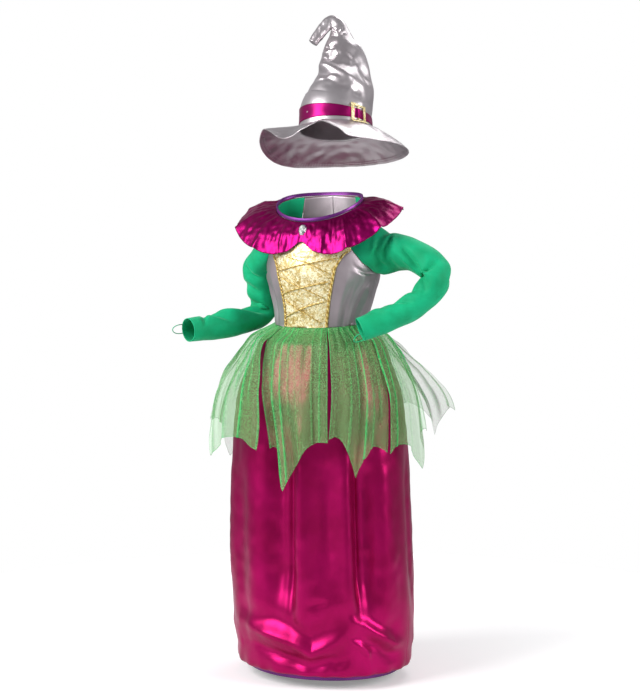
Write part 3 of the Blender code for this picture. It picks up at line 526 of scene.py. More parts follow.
SIDE_FLAT = (0.135, 0.165)
SIDE_FOLDS = table(
    CREASE,
    (((0.30, 0.00), (0.33, 0.22), (0.40, 0.45)), 0.006, -0.0030),
    (((0.42, 0.00), (0.50, 0.25), (0.62, 0.50)), 0.006, 0.0030),
    (((0.55, 0.00), (0.66, 0.22), (0.80, 0.44)), 0.007, -0.0036),
    (((0.68, 0.02), (0.80, 0.20), (0.92, 0.40)), 0.007, 0.0030),
    (((0.18, 0.00), (0.20, 0.25), (0.24, 0.60)), 0.008, 0.0020),
    (((0.95, 0.50), (0.70, 0.55), (0.40, 0.72)), 0.009, -0.0020),
    (((0.90, 0.40), (0.62, 0.45), (0.35, 0.60)), 0.008, 0.0016),
)


def side_relief(across, along, points, side):
    """Folds that run up from the waist seam towards the underarm."""
    seam = smooth(along * 12) * smooth((1 - along) * 9) * smooth(across * 9) * smooth((1 - across) * 9)
    return seam * (press(across, along, SIDE_FLAT, SIDE_FOLDS) + 0.0010 * wander(points, 0.035, 2 + side))


BACK_FLAT = (0.195, 0.280)
BACK_FOLDS = table(
    CREASE,
    (((0.20, 0.00), (0.24, 0.20), (0.34, 0.40)), 0.008, 0.0026),
    (((0.38, 0.00), (0.42, 0.25), (0.50, 0.50)), 0.008, -0.0026),
    (((0.60, 0.00), (0.62, 0.20), (0.64, 0.42)), 0.009, 0.0022),
    (((0.10, 0.36), (0.40, 0.42), (0.75, 0.40)), 0.010, -0.0020),
    (((0.12, 0.50), (0.45, 0.55), (0.90, 0.50)), 0.012, 0.0018),
)


def back_relief(across, along, points, side):
    """Ease at the waist and slight pulls between the underarms."""
    seam = smooth(along * 12) * smooth((1 - along) * 10) * smooth(across * 9) * smooth((1 - across) * 9)
    return seam * (press(across, along, BACK_FLAT, BACK_FOLDS) + 0.0010 * wander(points, 0.045, 6 + side))


for side_name, side in (("left", 1), ("right", -1)):
    name = f"satin_side_{side_name}"
    mesh = sew(name, mirrored(side_front, side), 60, 84, SIDE_FLAT, mirrored(side_relief, side))
    wear(name, mesh, MAUVE_SATIN, (f"side_front_{side_name}",))
    name = f"satin_back_{side_name}"
    mesh = sew(name, mirrored(back_panel, side), 70, 110, BACK_FLAT, mirrored(back_relief, side))
    wear(name, mesh, MAUVE_SATIN, (f"back_{side_name}",))

# Braid and laces: a scalloped metal-thread braid down each edge of the gold front, and six gold
# cords in three crosses, sewn down at their ends.

TURN_HEIGHT = "turn height"
LACES = tuple(table(TURN_HEIGHT, *points) for points in (
    ((-19.5, -0.1046), (3.0, -0.1158), (26.4, -0.1398)),
    ((35.0, -0.1068), (3.0, -0.1197), (-28.0, -0.1347)),
    ((-27.0, -0.1488), (-5.0, -0.1685), (6.1, -0.1775), (21.9, -0.1925)),
    ((26.4, -0.1578), (12.9, -0.1638), (-0.2, -0.1700), (-15.7, -0.1775), (-27.0, -0.1850)),
    ((-25.8, -0.1968), (-7.6, -0.2180), (6.1, -0.2300), (20.4, -0.2461)),
    ((22.0, -0.2011), (9.0, -0.2076), (-6.9, -0.2196), (-25.5, -0.2346)),
))
LACE_CROSSINGS = table(
    TURN_HEIGHT,
    (6.0, -0.1188),
    (-2.5, -0.1708),
    (-6.3, -0.2192),
)
LACE_RADIUS = 0.00138
LACE_LIFT = 0.0019
LACE_TWIST = 220.0
LACE_STEPS = 90
LACE_STRANDS = 3
CROSSING_LIFT = 0.00256
CROSSING_SPREAD = 9.0
BRAID_WIDTH = 0.0055
BRAID_LIFT = 0.0019
BRAID_THICKNESS = 0.0010
BRAID_SCALLOPS = 26
SCALLOP_DEPTH = 0.0011
BRAID_TOP = -0.094
BRAID_SIZE = (0.0065, 0.155)


def thread_finish(name, dark, light, pitch):
    """Shiny metal thread, wound at a slant, with painted shade in the grooves between the windings."""
    material, tree, shader = new_finish(name, {"Metallic": 0.45, "Roughness": 0.38,
                                               "Specular IOR Level": 0.6})
    threads = node(tree, "UVMap", uv_map="weave").outputs["UV"]
    wound = node(tree, "TexWave", {"Vector": threads, "Scale": 1 / (pitch * 20), "Distortion": 1.0},
                 bands_direction="DIAGONAL").outputs["Fac"]
    # The colour follows the same waves as the bump: darker in the low grooves, which is painted shade, and
    # lighter on the raised windings
    tree.links.new(ramp(tree, wound, ((0.2, dark), (0.8, light))), shader.inputs["Base Color"])
    relief = node(tree, "Bump", {"Height": wound, "Strength": 0.6, "Distance": pitch / 3})
    tree.links.new(relief.outputs["Normal"], shader.inputs["Normal"])
    return material


GOLD_TRIM = thread_finish("gold_thread", (0.40, 0.23, 0.03), (0.80, 0.60, 0.20), 0.0009)


def tube(name, path, radius, turns_per_metre, sides=10, twist_depth=0.16):
    """A twisted cord: a closed tube swept along a path, with strands wound round it."""
    path = np.asarray(path)
    ahead = np.gradient(path, axis=0)
    ahead /= np.linalg.norm(ahead, axis=1, keepdims=True)
    side = np.cross(ahead, np.array((0.0, -0.3, 1.0)))
    side /= np.linalg.norm(side, axis=1, keepdims=True)
    rise = np.cross(side, ahead)
    reach = np.concatenate(((0.0,), np.cumsum(np.linalg.norm(np.diff(path, axis=0), axis=1))))
    rope = bmesh.new()
    rope.loops.layers.uv.new("weave")
    bmesh.ops.create_grid(rope, x_segments=sides, y_segments=len(path) - 1, size=0.5, calc_uvs=True)
    for vertex in rope.verts:
        step = round((vertex.co.y + 0.5) * (len(path) - 1))
        angle = 2 * pi * (vertex.co.x + 0.5)
        strand = 1 + twist_depth * cos(LACE_STRANDS * angle + 2 * pi * turns_per_metre * reach[step])
        spread = radius * strand / (1 + twist_depth)
        vertex.co = path[step] + side[step] * spread * cos(angle) + rise[step] * spread * sin(angle)
    threads = rope.loops.layers.uv["weave"]
    for face in rope.faces:
        for corner in face.loops:
            uv = corner[threads].uv
            corner[threads].uv = (uv.x * 2 * pi * radius, uv.y * reach[-1])
    bmesh.ops.remove_doubles(rope, verts=rope.verts, dist=WELD)
    bmesh.ops.holes_fill(rope, edges=[edge for edge in rope.edges if edge.is_boundary], sides=0)
    bmesh.ops.recalc_face_normals(rope, faces=rope.faces)
    mesh = bpy.data.meshes.new(name)
    rope.to_mesh(mesh)
    rope.free()
    mesh.shade_smooth()
    return mesh


for number, route in enumerate(LACES):
    crossing = LACE_CROSSINGS[number // 2]
    legs = np.linspace(0, len(route) - 1, LACE_STEPS)
    turns = np.interp(legs, range(len(route)), [point.turn for point in route])
    heights = np.interp(legs, range(len(route)), [point.height for point in route])
    over = np.exp(-((turns - crossing.turn) / CROSSING_SPREAD) ** 2)
    lift = LACE_LIFT + (number % 2) * CROSSING_LIFT * over
    name = f"gold_lace_{number + 1}"
    mesh = tube(name, torso(turns, heights, lift), LACE_RADIUS, LACE_TWIST)
    dress(name, mesh, GOLD_TRIM, (f"lace_{number + 1}",))


BRAID_ROUTE = table("height turn", *((row.height, row.turn) for row in FRONT_EDGE))
BRAID_GAP = 0.001
BRAID_PUFF = 0.0008


def braid(across, along, side):
    """Scalloped braid along one edge of the gold front, just inside the seam."""
    height = lerp(waist_height(30) + BRAID_GAP, BRAID_TOP, along)
    radius = read(TORSO, height).half_width
    edge = read(BRAID_ROUTE, height).turn
    wave = np.cos(2 * pi * BRAID_SCALLOPS * along)
    scallop = SCALLOP_DEPTH * wave
    inset = lerp(BRAID_WIDTH + BRAID_GAP + scallop, BRAID_GAP - 0.5 * scallop, across)
    turn = edge - inset / radius * 180 / pi
    puff = BRAID_PUFF * np.sin(pi * across) * (0.7 + 0.3 * wave)
    return torso(side * turn, height, BRAID_LIFT + puff)


for side_name, side in (("left", 1), ("right", -1)):
    name = f"gold_braid_{side_name}"
    mesh = sew(name, mirrored(braid, side), 8, BRAID_SCALLOPS * 10, BRAID_SIZE)
    thicken(dress(name, mesh, GOLD_TRIM, (f"braid_{side_name}",)), BRAID_THICKNESS)

# Sleeves: long raglan sleeves of soft green velour jersey, each cut in one piece from the
# neckline to the wrist. The left arm rests on the hip, and the right one reaches down and ahead.

SLEEVE_ROW = "row x y z high deep"
LEFT_SLEEVE = table(
    SLEEVE_ROW,
    (0, 0.1530, 0.000, -0.0940, 0.0490, 0.0450),
    (1, 0.2240, -0.002, -0.1010, 0.0350, 0.0360),
    (2, 0.2820, -0.014, -0.1430, 0.0320, 0.0340),
    (3, 0.2450, -0.036, -0.2010, 0.0280, 0.0310),
    (4, 0.1930, -0.067, -0.2340, 0.0275, 0.0275),
    (5, 0.1440, -0.102, -0.2570, 0.0255, 0.0255),
)
RIGHT_SLEEVE = table(
    SLEEVE_ROW,
    (0, -0.1555, 0.012, -0.1250, 0.0400, 0.0440),
    (1, -0.1600, 0.026, -0.1720, 0.0360, 0.0360),
    (2, -0.1640, 0.040, -0.2320, 0.0330, 0.0270),
    (3, -0.1980, -0.052, -0.2540, 0.0300, 0.0300),
    (4, -0.2300, -0.105, -0.2610, 0.0280, 0.0280),
    (5, -0.2504, -0.144, -0.2650, 0.0260, 0.0260),
)
SHOULDER_BULGE = 0.008
SLEEVE_CLEAR = 0.0035
ARM_STEPS = 100
SHOULDER_STEPS = 60


def unit(vectors):
    """Gives vectors a length of one."""
    return vectors / np.linalg.norm(vectors, axis=-1, keepdims=True)


def clear_of_body(points, gap):
    """Moves points of a sleeve out to at least a gap from the body of the dress."""
    row = read(TORSO, points[..., 2])
    wide, deep = row.half_width + gap, row.half_depth + gap
    inside = np.stack(((points[..., 0] - row.shift) / wide, points[..., 1] / deep), axis=-1)
    reach = np.linalg.norm(inside, axis=-1)
    grown = np.stack((row.shift + inside[..., 0] / reach * wide, inside[..., 1] / reach * deep,
                      points[..., 2]), axis=-1)
    outside = (reach >= 1) | (points[..., 2] < TORSO[0].height)
    return np.where(outside[..., None], points, grown)


def arm_rings(rows, side):
    """Rings down the arm: middles, low sides, front sides and half sizes."""
    underarm = torso(side * 90.0, RAGLAN[0].front_height + SEAM)
    shares = np.linspace(0, len(rows) - 1, ARM_STEPS + 1)
    here = read(rows, shares)
    middles = np.stack(here[1:4], axis=-1)
    ahead = np.stack(read(rows, shares + 0.05)[1:4], axis=-1)
    behind = np.stack(read(rows, shares - 0.05)[1:4], axis=-1)
    axes = unit(ahead - behind)
    low = unit(underarm - middles[0])
    axes[0] = unit(axes[0] - low * axes[0].dot(low))
    lows = []
    for axis in axes:
        low = unit(low - axis * low.dot(axis))
        lows.append(low)
    lows = np.array(lows)
    high = here.high.copy()
    settle = 1 - smooth(np.arange(ARM_STEPS + 1) / 12)
    high += settle * (np.linalg.norm(underarm - middles[0]) - rows[0].high)
    return middles, lows, side * np.cross(lows, axes), high, here.deep


def ring_points(rings, step, across):
    """Points round a sleeve, from its low side to the front, the top and the back."""
    middles, lows, fronts, high, deep = rings
    low, part = np.floor(step).astype(int), (step % 1)[..., None]
    high_step = np.minimum(low + 1, ARM_STEPS)
    angle = 2 * pi * across

    def at(number):
        return (middles[number] + lows[number] * (high[number] * np.cos(angle))[..., None]
                + fronts[number] * (deep[number] * np.sin(angle))[..., None])

    return at(low) * (1 - part) + at(high_step) * part


def shoulder_points(rings, across, row, side):
    """Points of the shoulder, which is stretched between the armhole, seams and neckline."""
    raglan = read(RAGLAN, row)
    share = raglan.share[..., None]
    spread = across[..., None]
    underarm = ring_points(rings, np.zeros_like(across), np.zeros_like(across))
    top = neck_height(raglan.front_turn) - SEAM
    front = torso(side * (raglan.front_turn + SEAM_TURN), np.minimum(raglan.front_height + SEAM, top))
    top = neck_height(raglan.back_turn) - SEAM
    back = torso(side * (raglan.back_turn - SEAM_TURN), np.minimum(raglan.back_height + SEAM, top))
    last = RAGLAN[-1]
    turn = lerp(last.front_turn + SEAM_TURN, last.back_turn - SEAM_TURN, across)
    neck = torso(side * turn, neck_height(turn) - SEAM)
    neck_front = torso(side * (last.front_turn + SEAM_TURN), neck_height(last.front_turn) - SEAM)
    neck_back = torso(side * (last.back_turn - SEAM_TURN), neck_height(last.back_turn) - SEAM)
    points = lerp(ring_points(rings, np.zeros_like(across), across), neck, share)
    points = points + lerp(front, back, spread)
    points = points - lerp(underarm, lerp(neck_front, neck_back, spread), share)
    outward = unit(points - np.array((side * 0.07, 0.0, -0.09)))
    bulge = SHOULDER_BULGE * np.sin(pi * raglan.share) * np.sin(pi * across) ** 2
    return points + outward * bulge[..., None]


def velour_finish(name, dark, light):
    """Velour jersey: a short soft pile that lightens where it turns away."""
    material, tree, shader = new_finish(name, {
        "Roughness": 0.70, "Sheen Weight": 0.3, "Sheen Roughness": 0.4,
        "Sheen Tint": (0.45, 1.0, 0.72, 1.0), "Specular IOR Level": 0.25})
    where = node(tree, "TexCoord").outputs["Object"]
    nap = node(tree, "TexNoise", {"Vector": where, "Scale": 22.0, "Detail": 4.0}).outputs["Fac"]
    pile = node(tree, "TexNoise", {"Vector": where, "Scale": 1400.0, "Detail": 2.0}).outputs["Fac"]
    both = node(tree, "Math", {0: pile, 1: 0.35, 2: nap}, operation="MULTIPLY_ADD").outputs[0]
    tree.links.new(ramp(tree, both, ((0.50, dark), (0.85, light))), shader.inputs["Base Color"])
    relief = node(tree, "Bump", {"Height": pile, "Strength": 0.35, "Distance": 0.0004})
    tree.links.new(relief.outputs["Normal"], shader.inputs["Normal"])
    return material


GREEN_VELOUR = velour_finish("green_velour_cloth", (0.0005, 0.33, 0.135), (0.002, 0.47, 0.215))

# Sleeve creases: the first number is the share round the arm from its low side to the front,
# the top and the back, and the second the share from cuff to neckline
LEFT_CREASES = table(
    CREASE,
    (((0.09, 0.400), (0.22, 0.470), (0.36, 0.56)), 0.007, -0.0080),
    (((0.10, 0.377), (0.24, 0.390), (0.46, 0.41)), 0.007, -0.0080),
    (((0.09, 0.352), (0.22, 0.325), (0.40, 0.29)), 0.007, -0.0070),
    (((0.14, 0.440), (0.26, 0.540), (0.40, 0.60)), 0.007, 0.0060),
    (((0.16, 0.362), (0.28, 0.357), (0.46, 0.345)), 0.007, 0.0055),
    (((0.04, 0.570), (0.16, 0.650), (0.28, 0.75)), 0.010, -0.0120),
    (((0.04, 0.540), (0.20, 0.590), (0.40, 0.62)), 0.010, -0.0100),
    (((0.06, 0.610), (0.20, 0.690), (0.34, 0.80)), 0.009, 0.0060),
    (((0.02, 0.230), (0.16, 0.270), (0.34, 0.29)), 0.008, -0.0080),
    (((0.03, 0.130), (0.20, 0.190), (0.38, 0.24)), 0.008, -0.0070),
    (((0.08, 0.050), (0.24, 0.110), (0.42, 0.17)), 0.007, 0.0050),
    (((0.52, 0.340), (0.66, 0.380), (0.86, 0.37)), 0.009, -0.0070),
    (((0.60, 0.520), (0.78, 0.580), (0.94, 0.56)), 0.010, -0.0080),
)
RIGHT_CREASES = table(
    CREASE,
    (((0.08, 0.385), (0.18, 0.376), (0.36, 0.350)), 0.008, -0.0090),
    (((0.08, 0.410), (0.20, 0.435), (0.40, 0.450)), 0.008, -0.0080),
    (((0.14, 0.400), (0.24, 0.405), (0.40, 0.400)), 0.007, 0.0055),
    (((0.02, 0.370), (0.20, 0.310), (0.40, 0.260)), 0.009, -0.0090),
    (((0.04, 0.330), (0.20, 0.260), (0.40, 0.200)), 0.008, 0.0055),
    (((0.04, 0.250), (0.20, 0.190), (0.40, 0.130)), 0.008, -0.0070),
    (((0.06, 0.080), (0.22, 0.110), (0.42, 0.160)), 0.007, -0.0060),
    (((0.06, 0.560), (0.20, 0.620), (0.32, 0.720)), 0.010, -0.0090),
    (((0.08, 0.480), (0.26, 0.520), (0.44, 0.510)), 0.010, -0.0080),
    (((0.56, 0.380), (0.72, 0.400), (0.90, 0.380)), 0.009, -0.0070),
    (((0.62, 0.560), (0.78, 0.620), (0.92, 0.600)), 0.010, -0.0070),
)
SLEEVE_FLAT = (0.215, 0.46)
SLEEVE_SLACK = 0.0014
EASING_PASSES = 140
EASING_MIDDLE = ARM_STEPS + 4
EASING_REACH = 16


def green_sleeve(side_name, side, rows, creases):
    """Makes a sleeve in one sheet from the cuff up to the neckline."""
    rings = arm_rings(rows, side)
    total = ARM_STEPS + SHOULDER_STEPS

    def surface(across, along, _):
        number = along * total
        arm = ring_points(rings, np.clip(ARM_STEPS - number, 0, ARM_STEPS), across)
        row = np.clip((number - ARM_STEPS) / SHOULDER_STEPS, 0, 1) * (len(RAGLAN) - 1)
        shoulder = shoulder_points(rings, across, row, side)
        on_arm = number <= ARM_STEPS
        closeness = np.where(on_arm, SLEEVE_CLEAR, SLEEVE_CLEAR * np.sin(pi * across))
        points = np.where(on_arm[..., None], arm, shoulder)
        held = (row > 3) | (across == 0) | (across == 1)
        points = np.where((held & ~on_arm)[..., None], points, clear_of_body(points, closeness))
        loose = np.exp(-((number - EASING_MIDDLE) / EASING_REACH) ** 2)
        loose *= smooth(6 * np.minimum(across, 1 - across))
        for _ in range(EASING_PASSES):
            even = (points[:-2] + points[2:]) / 2
            points[1:-1] += (even - points[1:-1]) * loose[1:-1, :, None]
        return points

    def relief(across, along, points, _):
        ease = sum(press(across + lap, along, SLEEVE_FLAT, creases) for lap in (-1, 0, 1))
        ends = smooth(along * 25) * smooth((1 - along) * 8)
        shoulder = smooth((along * total - ARM_STEPS) / 8)
        seams = lerp(1.0, smooth(across * 10) * smooth((1 - across) * 10), shoulder)
        return ends * seams * (ease + SLEEVE_SLACK * wander(points, 0.030, 11 + side))

    name = f"green_sleeve_{side_name}"
    mesh = sew(name, mirrored(surface, side), 96, total, SLEEVE_FLAT, mirrored(relief, side))
    wear(name, mesh, GREEN_VELOUR, (f"sleeve_{side_name}",))
    return [part[-1] for part in rings]


LOOP_RADIUS = 0.0011
LOOP_LENGTH = 0.024
LOOP_SPREAD = 0.010
LOOP_TWIST = 300.0


def finger_loop(side_name, side, cuff):
    """A thin elastic loop that stands out of the cuff's upper edge."""
    middle, low, front, high, deep = cuff
    onward = side * np.cross(front, low)
    round_cuff = high - CLOTH / 2
    angle = np.linspace(0, pi, 60)
    sideways = LOOP_SPREAD * np.cos(angle)
    upward = np.sqrt(round_cuff ** 2 - sideways ** 2)
    reach = LOOP_LENGTH * np.sin(angle) ** 0.7 + SEAM
    path = middle - upward[:, None] * low + reach[:, None] * onward + sideways[:, None] * front
    name = f"elastic_loop_{side_name}"
    mesh = tube(name, path, LOOP_RADIUS, LOOP_TWIST)
    dress(name, mesh, GREEN_VELOUR, (f"finger_loop_{side_name}",))


for side_name, side, rows, creases in (("left", 1, LEFT_SLEEVE, LEFT_CREASES),
                                       ("right", -1, RIGHT_SLEEVE, RIGHT_CREASES)):
    finger_loop(side_name, side, green_sleeve(side_name, side, rows, creases))

# Long skirt: two widths of magenta satin, gathered into the waist seam and again into the band
# at the hem, so that the cloth blouses over the band in a soft bubble.

HEM_ABOVE_FLOOR = 0.030
HEM_HEIGHT = HEM_ABOVE_FLOOR - NECK_ABOVE_FLOOR
SKIRT_DEPTH_RATIO = 0.85
SKIRT_TOP_INSET = 0.0015
SKIRT = table(
    "height half_width shift",
    (HEM_HEIGHT, 0.170, 0.010),
    (-0.990, 0.180, 0.010),
    (-0.975, 0.192, 0.010),
    (-0.945, 0.201, 0.009),
    (-0.860, 0.206, 0.008),
    (-0.750, 0.205, 0.005),
    (-0.618, 0.200, 0.003),
    (-0.528, 0.197, 0.002),
    (-0.462, 0.193, 0.001),
    (-0.394, 0.183, 0.001),
    (-0.336, 0.160, 0.002),
    (-0.281, 0.134, 0.003),
    (-0.237, 0.103, 0.003),
)
YOKE_DROP = 0.035
GATHER_START = 0.012
GATHER_FADE = 0.050
GATHER_DEPTH = 0.0017
SKIRT_GATHERS = 18
HEM_PUCKERS = 24
BLOUSE_SHARE = 0.05
BLOUSE_OUT = 0.005
BLOUSE_DROP = 0.015
PUCKER_DEPTH = 0.0022
PUCKER_REACH = 0.04
FOLDS = table(
    "turn spread height top bottom",
    (-92.0, 9.0, -0.007, -0.50, -0.93),
    (-62.0, 10.0, 0.006, -0.46, -0.90),
    (-40.0, 8.0, -0.008, -0.52, -0.95),
    (-7.0, 9.5, -0.032, -0.40, -0.92),
    (1.0, 3.2, -0.018, -0.42, -0.92),
    (9.0, 5.0, 0.007, -0.40, -0.95),
    (25.0, 8.0, -0.014, -0.44, -0.86),
    (38.0, 5.0, 0.007, -0.45, -0.93),
    (45.5, 3.0, -0.018, -0.44, -0.91),
    (52.0, 8.0, -0.028, -0.44, -0.93),
    (66.0, 8.0, 0.006, -0.46, -0.95),
    (100.0, 8.0, -0.010, -0.46, -0.92),
    (124.0, 9.0, 0.006, -0.44, -0.95),
    (146.0, 8.0, -0.010, -0.48, -0.90),
    (178.0, 10.0, 0.007, -0.45, -0.94),
    (205.0, 8.0, -0.011, -0.50, -0.88),
    (236.0, 9.0, 0.007, -0.44, -0.95),
)
FOLD_FADE = 0.16


def wrapped(turn):
    """Brings a turn into the range from -180 to 180."""
    return (turn + 180) % 360 - 180


def gather(share, count, drop, depth):
    """Small waves below the waist seam, which spring out and then die away."""
    start = 0.25 + 0.75 * (1 - np.exp(-drop / GATHER_START))
    return -depth * start * np.exp(-drop / GATHER_FADE) * np.cos(2 * pi * count * share)


def folds(turn, height):
    """Sum of the skirt's long folds."""
    total = 0.0
    for fold in FOLDS:
        away = wrapped(turn - fold.turn) / fold.spread
        ends = smooth((fold.top - height) / FOLD_FADE) * smooth((height - fold.bottom) / FOLD_FADE)
        total = total + fold.height * np.exp(-away * away) * ends
    return total


def skirt_shape(turn, height, out=0.0):
    """Points on the skirt's plain shape, which grows out of the waist seam."""
    row = read(SKIRT, height)
    top = read(TORSO, waist_height(turn))
    share = smooth((waist_height(turn) - height) / YOKE_DROP)
    half_width = lerp(top.half_width - SKIRT_TOP_INSET, row.half_width, share)
    half_depth = lerp(top.half_depth - SKIRT_TOP_INSET, row.half_width * SKIRT_DEPTH_RATIO, share)
    return oval(turn, height, half_width, half_depth, row.shift, out)


# Creases of the bubble hem and small pulls, as routes of (turn, height)
HEM_CREASES = table(
    CREASE,
    (((-44.0, -0.900), (-30.0, -0.903), (-12.0, -0.912), (4.0, -0.925), (15.0, -0.944), (28.0, -0.922),
      (41.0, -0.884)), 0.013, 0.0095),
    (((-42.0, -0.942), (-28.0, -0.940), (-8.0, -0.952), (14.0, -0.974), (31.0, -0.955), (43.0, -0.915)),
     0.012, -0.0090),
    (((-34.0, -0.868), (-12.0, -0.876), (4.0, -0.892), (14.0, -0.905), (26.0, -0.886), (37.0, -0.856)),
     0.018, -0.0070),
    (((41.0, -0.872), (48.0, -0.884), (56.0, -0.902), (72.0, -0.930), (92.0, -0.946)), 0.010, 0.0100),
    (((43.0, -0.902), (54.0, -0.926), (68.0, -0.954), (84.0, -0.968)), 0.010, -0.0085),
    (((50.0, -0.868), (62.0, -0.884), (80.0, -0.908)), 0.015, -0.0050),
    (((37.0, -0.914), (45.0, -0.926), (51.0, -0.944), (53.0, -0.966)), 0.006, 0.0060),
    (((26.0, -0.984), (32.0, -0.968), (40.0, -0.950)), 0.006, -0.0050),
    (((14.0, -0.842), (20.0, -0.836), (26.0, -0.832)), 0.006, -0.0026),
    (((-82.0, -0.930), (-66.0, -0.915), (-52.0, -0.925)), 0.016, 0.0030),
    (((100.0, -0.930), (116.0, -0.950), (130.0, -0.925)), 0.016, 0.0032),
    (((136.0, -0.925), (150.0, -0.945), (168.0, -0.920)), 0.013, -0.0080),
    (((172.0, -0.950), (190.0, -0.930), (206.0, -0.950)), 0.013, 0.0085),
    (((214.0, -0.925), (230.0, -0.950), (246.0, -0.935)), 0.013, -0.0080),
    (((250.0, -0.950), (262.0, -0.930), (274.0, -0.915)), 0.013, 0.0075),
)
SKIRT_RADIUS = 0.19
SKIRT_WAVE = 0.0040
SKIRT_RIPPLE = 0.0013
SKIRT_FLAT = (0.66, 0.78)


def skirt_half(across, along, side):
    """Front or back of the skirt between the two side seams, hem first."""
    middle = 0 if side > 0 else 180
    turn = middle + lerp(-90 + SEAM_TURN, 90 - SEAM_TURN, across)
    waist = waist_height(turn) - SEAM
    height = lerp(waist, HEM_HEIGHT, 1 - along)
    wave = gather(across, SKIRT_GATHERS, waist - height, GATHER_DEPTH) + folds(turn, height)
    pucker = PUCKER_DEPTH * smooth((HEM_HEIGHT + PUCKER_REACH - height) / PUCKER_REACH)
    drift = 0.7 * np.sin(2 * pi * across * 3) + 0.5 * np.sin(2 * pi * across * 5)
    wave -= pucker * np.cos(pi * HEM_PUCKERS * across + drift * np.sin(pi * across))
    bag = np.sin(pi * np.clip(along / BLOUSE_SHARE, 0, 1))
    points = skirt_shape(turn, height, wave + BLOUSE_OUT * bag)
    points[..., 2] -= BLOUSE_DROP * bag
    return points


def skirt_relief(across, along, points, side):
    """Creases over the hem, long soft waves and small pulls."""
    middle = 0 if side > 0 else 180
    turn = middle + lerp(-90, 90, across)
    height = points[..., 2]
    scale = (SKIRT_RADIUS * pi / 180, 1.0)
    seam = smooth(across * 9) * smooth((1 - across) * 9)
    ends = smooth(along * 22) * smooth((1 - along) * 8)
    creases = press(turn, height, scale, HEM_CREASES) + press(turn + 360, height, scale, HEM_CREASES)
    long_way = points * np.array((1.0, 1.0, 0.16))
    waves = SKIRT_WAVE * wander(long_way, 0.045, 21) + SKIRT_RIPPLE * wander(points, 0.028, 22)
    return seam * ends * (creases + waves)


MAGENTA_SATIN = satin_finish("magenta_satin_cloth", (0.34, 0.001, 0.076), (0.45, 0.002, 0.112), 0.76, 0.35)
for place, side in (("front", 1), ("back", -1)):
    name = f"satin_skirt_{place}"
    mesh = sew(name, partial(skirt_half, side=side), 280, 150, SKIRT_FLAT, partial(skirt_relief, side=side))
    wear(name, mesh, MAGENTA_SATIN, (f"skirt_{place}",))

# Hem band: a narrow violet satin band that holds the gathered hem in round the ankles.

HEM_BAND_HEIGHT = 0.012
HEM_BAND_WALL = 0.0020
BAND_ROUNDING = 0.0006
VIOLET_SATIN = satin_finish("violet_satin_cloth", (0.13, 0.020, 0.18), (0.22, 0.045, 0.27), 0.5, 0.36)


def hem_band(across, along):
    """The band just below the skirt, softly rounded."""
    points = skirt_shape(360 * across - 180, np.full_like(across, HEM_HEIGHT),
                         PUCKER_DEPTH - BAND_ROUNDING * (2 * along - 1) ** 2)
    points[..., 2] = HEM_HEIGHT - SEAM - HEM_BAND_HEIGHT * (1 - along)
    return points


HEM_BAND_FLAT = (1.0, 0.012)
mesh = sew("violet_hem_band", hem_band, 260, 6, HEM_BAND_FLAT)
wear("violet_hem_band", mesh, VIOLET_SATIN, ("hem_band",),
     wall=HEM_BAND_WALL)

# Overskirt: seven long petals of sheer green organza with fine glitter, gathered into the waist
# seam over the satin. Each ends in a long point between two corners, with hollow edges.

PETALS = table(
    "left_top left_mid left_low right_top right_mid right_low left_end"
    " main_end right_end main_share flare_top flare_low",
    (-112.0, -108.0, -100.0, -61.5, -39.5, -36.0, -0.465, -0.540, -0.509, -1 / 3, 0.022, 0.022),
    (-63.0, -43.0, -33.0, 2.6, 1.6, 1.4, -0.508, -0.596, -0.492, -1 / 2, 0.006, 0.006),
    (3.2, 4.0, 2.0, 47.6, 43.1, 37.4, -0.485, -0.567, -0.517, -0.15, 0.006, 0.008),
    (45.5, 41.0, 36.8, 95.0, 90.0, 85.0, -0.517, -0.560, -0.486, 1 / 6, 0.010, 0.018),
    (96.5, 91.5, 87.0, 145.0, 142.0, 140.0, -0.442, -0.510, -0.455, 0.0, 0.010, 0.085),
    (146.5, 144.0, 142.0, 196.0, 196.0, 196.0, -0.470, -0.560, -0.480, 0.0, 0.015, 0.030),
    (197.5, 197.5, 198.0, 246.5, 251.0, 258.0, -0.480, -0.565, -0.470, 1 / 6, 0.018, 0.030),
)
PETAL_GATHERS = 6
PETAL_FLUTES = 3
PETAL_FLUTE_DEPTH = 0.006
PETAL_ARCH = 0.036
PETAL_SEAM_LIFT = 0.0013
PETAL_CLEARANCE = 0.0070
FLARE_START = 0.020
ORGANZA = 0.0004


def petal_edge(top, middle, low, share):
    """An edge turn through its values at the waist, half way and the corner."""
    return (top * (1 - share) * (1 - 2 * share) + middle * 4 * share * (1 - share)
            + low * share * (2 * share - 1))


def petal_turn(petal, across, level):
    """Turn of a point of a petal, from the middle of the view."""
    left = petal_edge(petal.left_top, petal.left_mid, petal.left_low, level)
    right = petal_edge(petal.right_top, petal.right_mid, petal.right_low, level)
    return lerp(left, right, across)


def petal_end(petal, across):
    """Height of the lower edge: two corners and a main point with hollow arches between."""
    left = (across + 1) / (petal.main_share + 1)
    right = (across - petal.main_share) / (1 - petal.main_share)
    before = across < petal.main_share
    share = np.where(before, left, right)
    straight = np.where(before, lerp(petal.left_end, petal.main_end, left),
                        lerp(petal.main_end, petal.right_end, right))
    return straight + PETAL_ARCH * np.sin(pi * share)


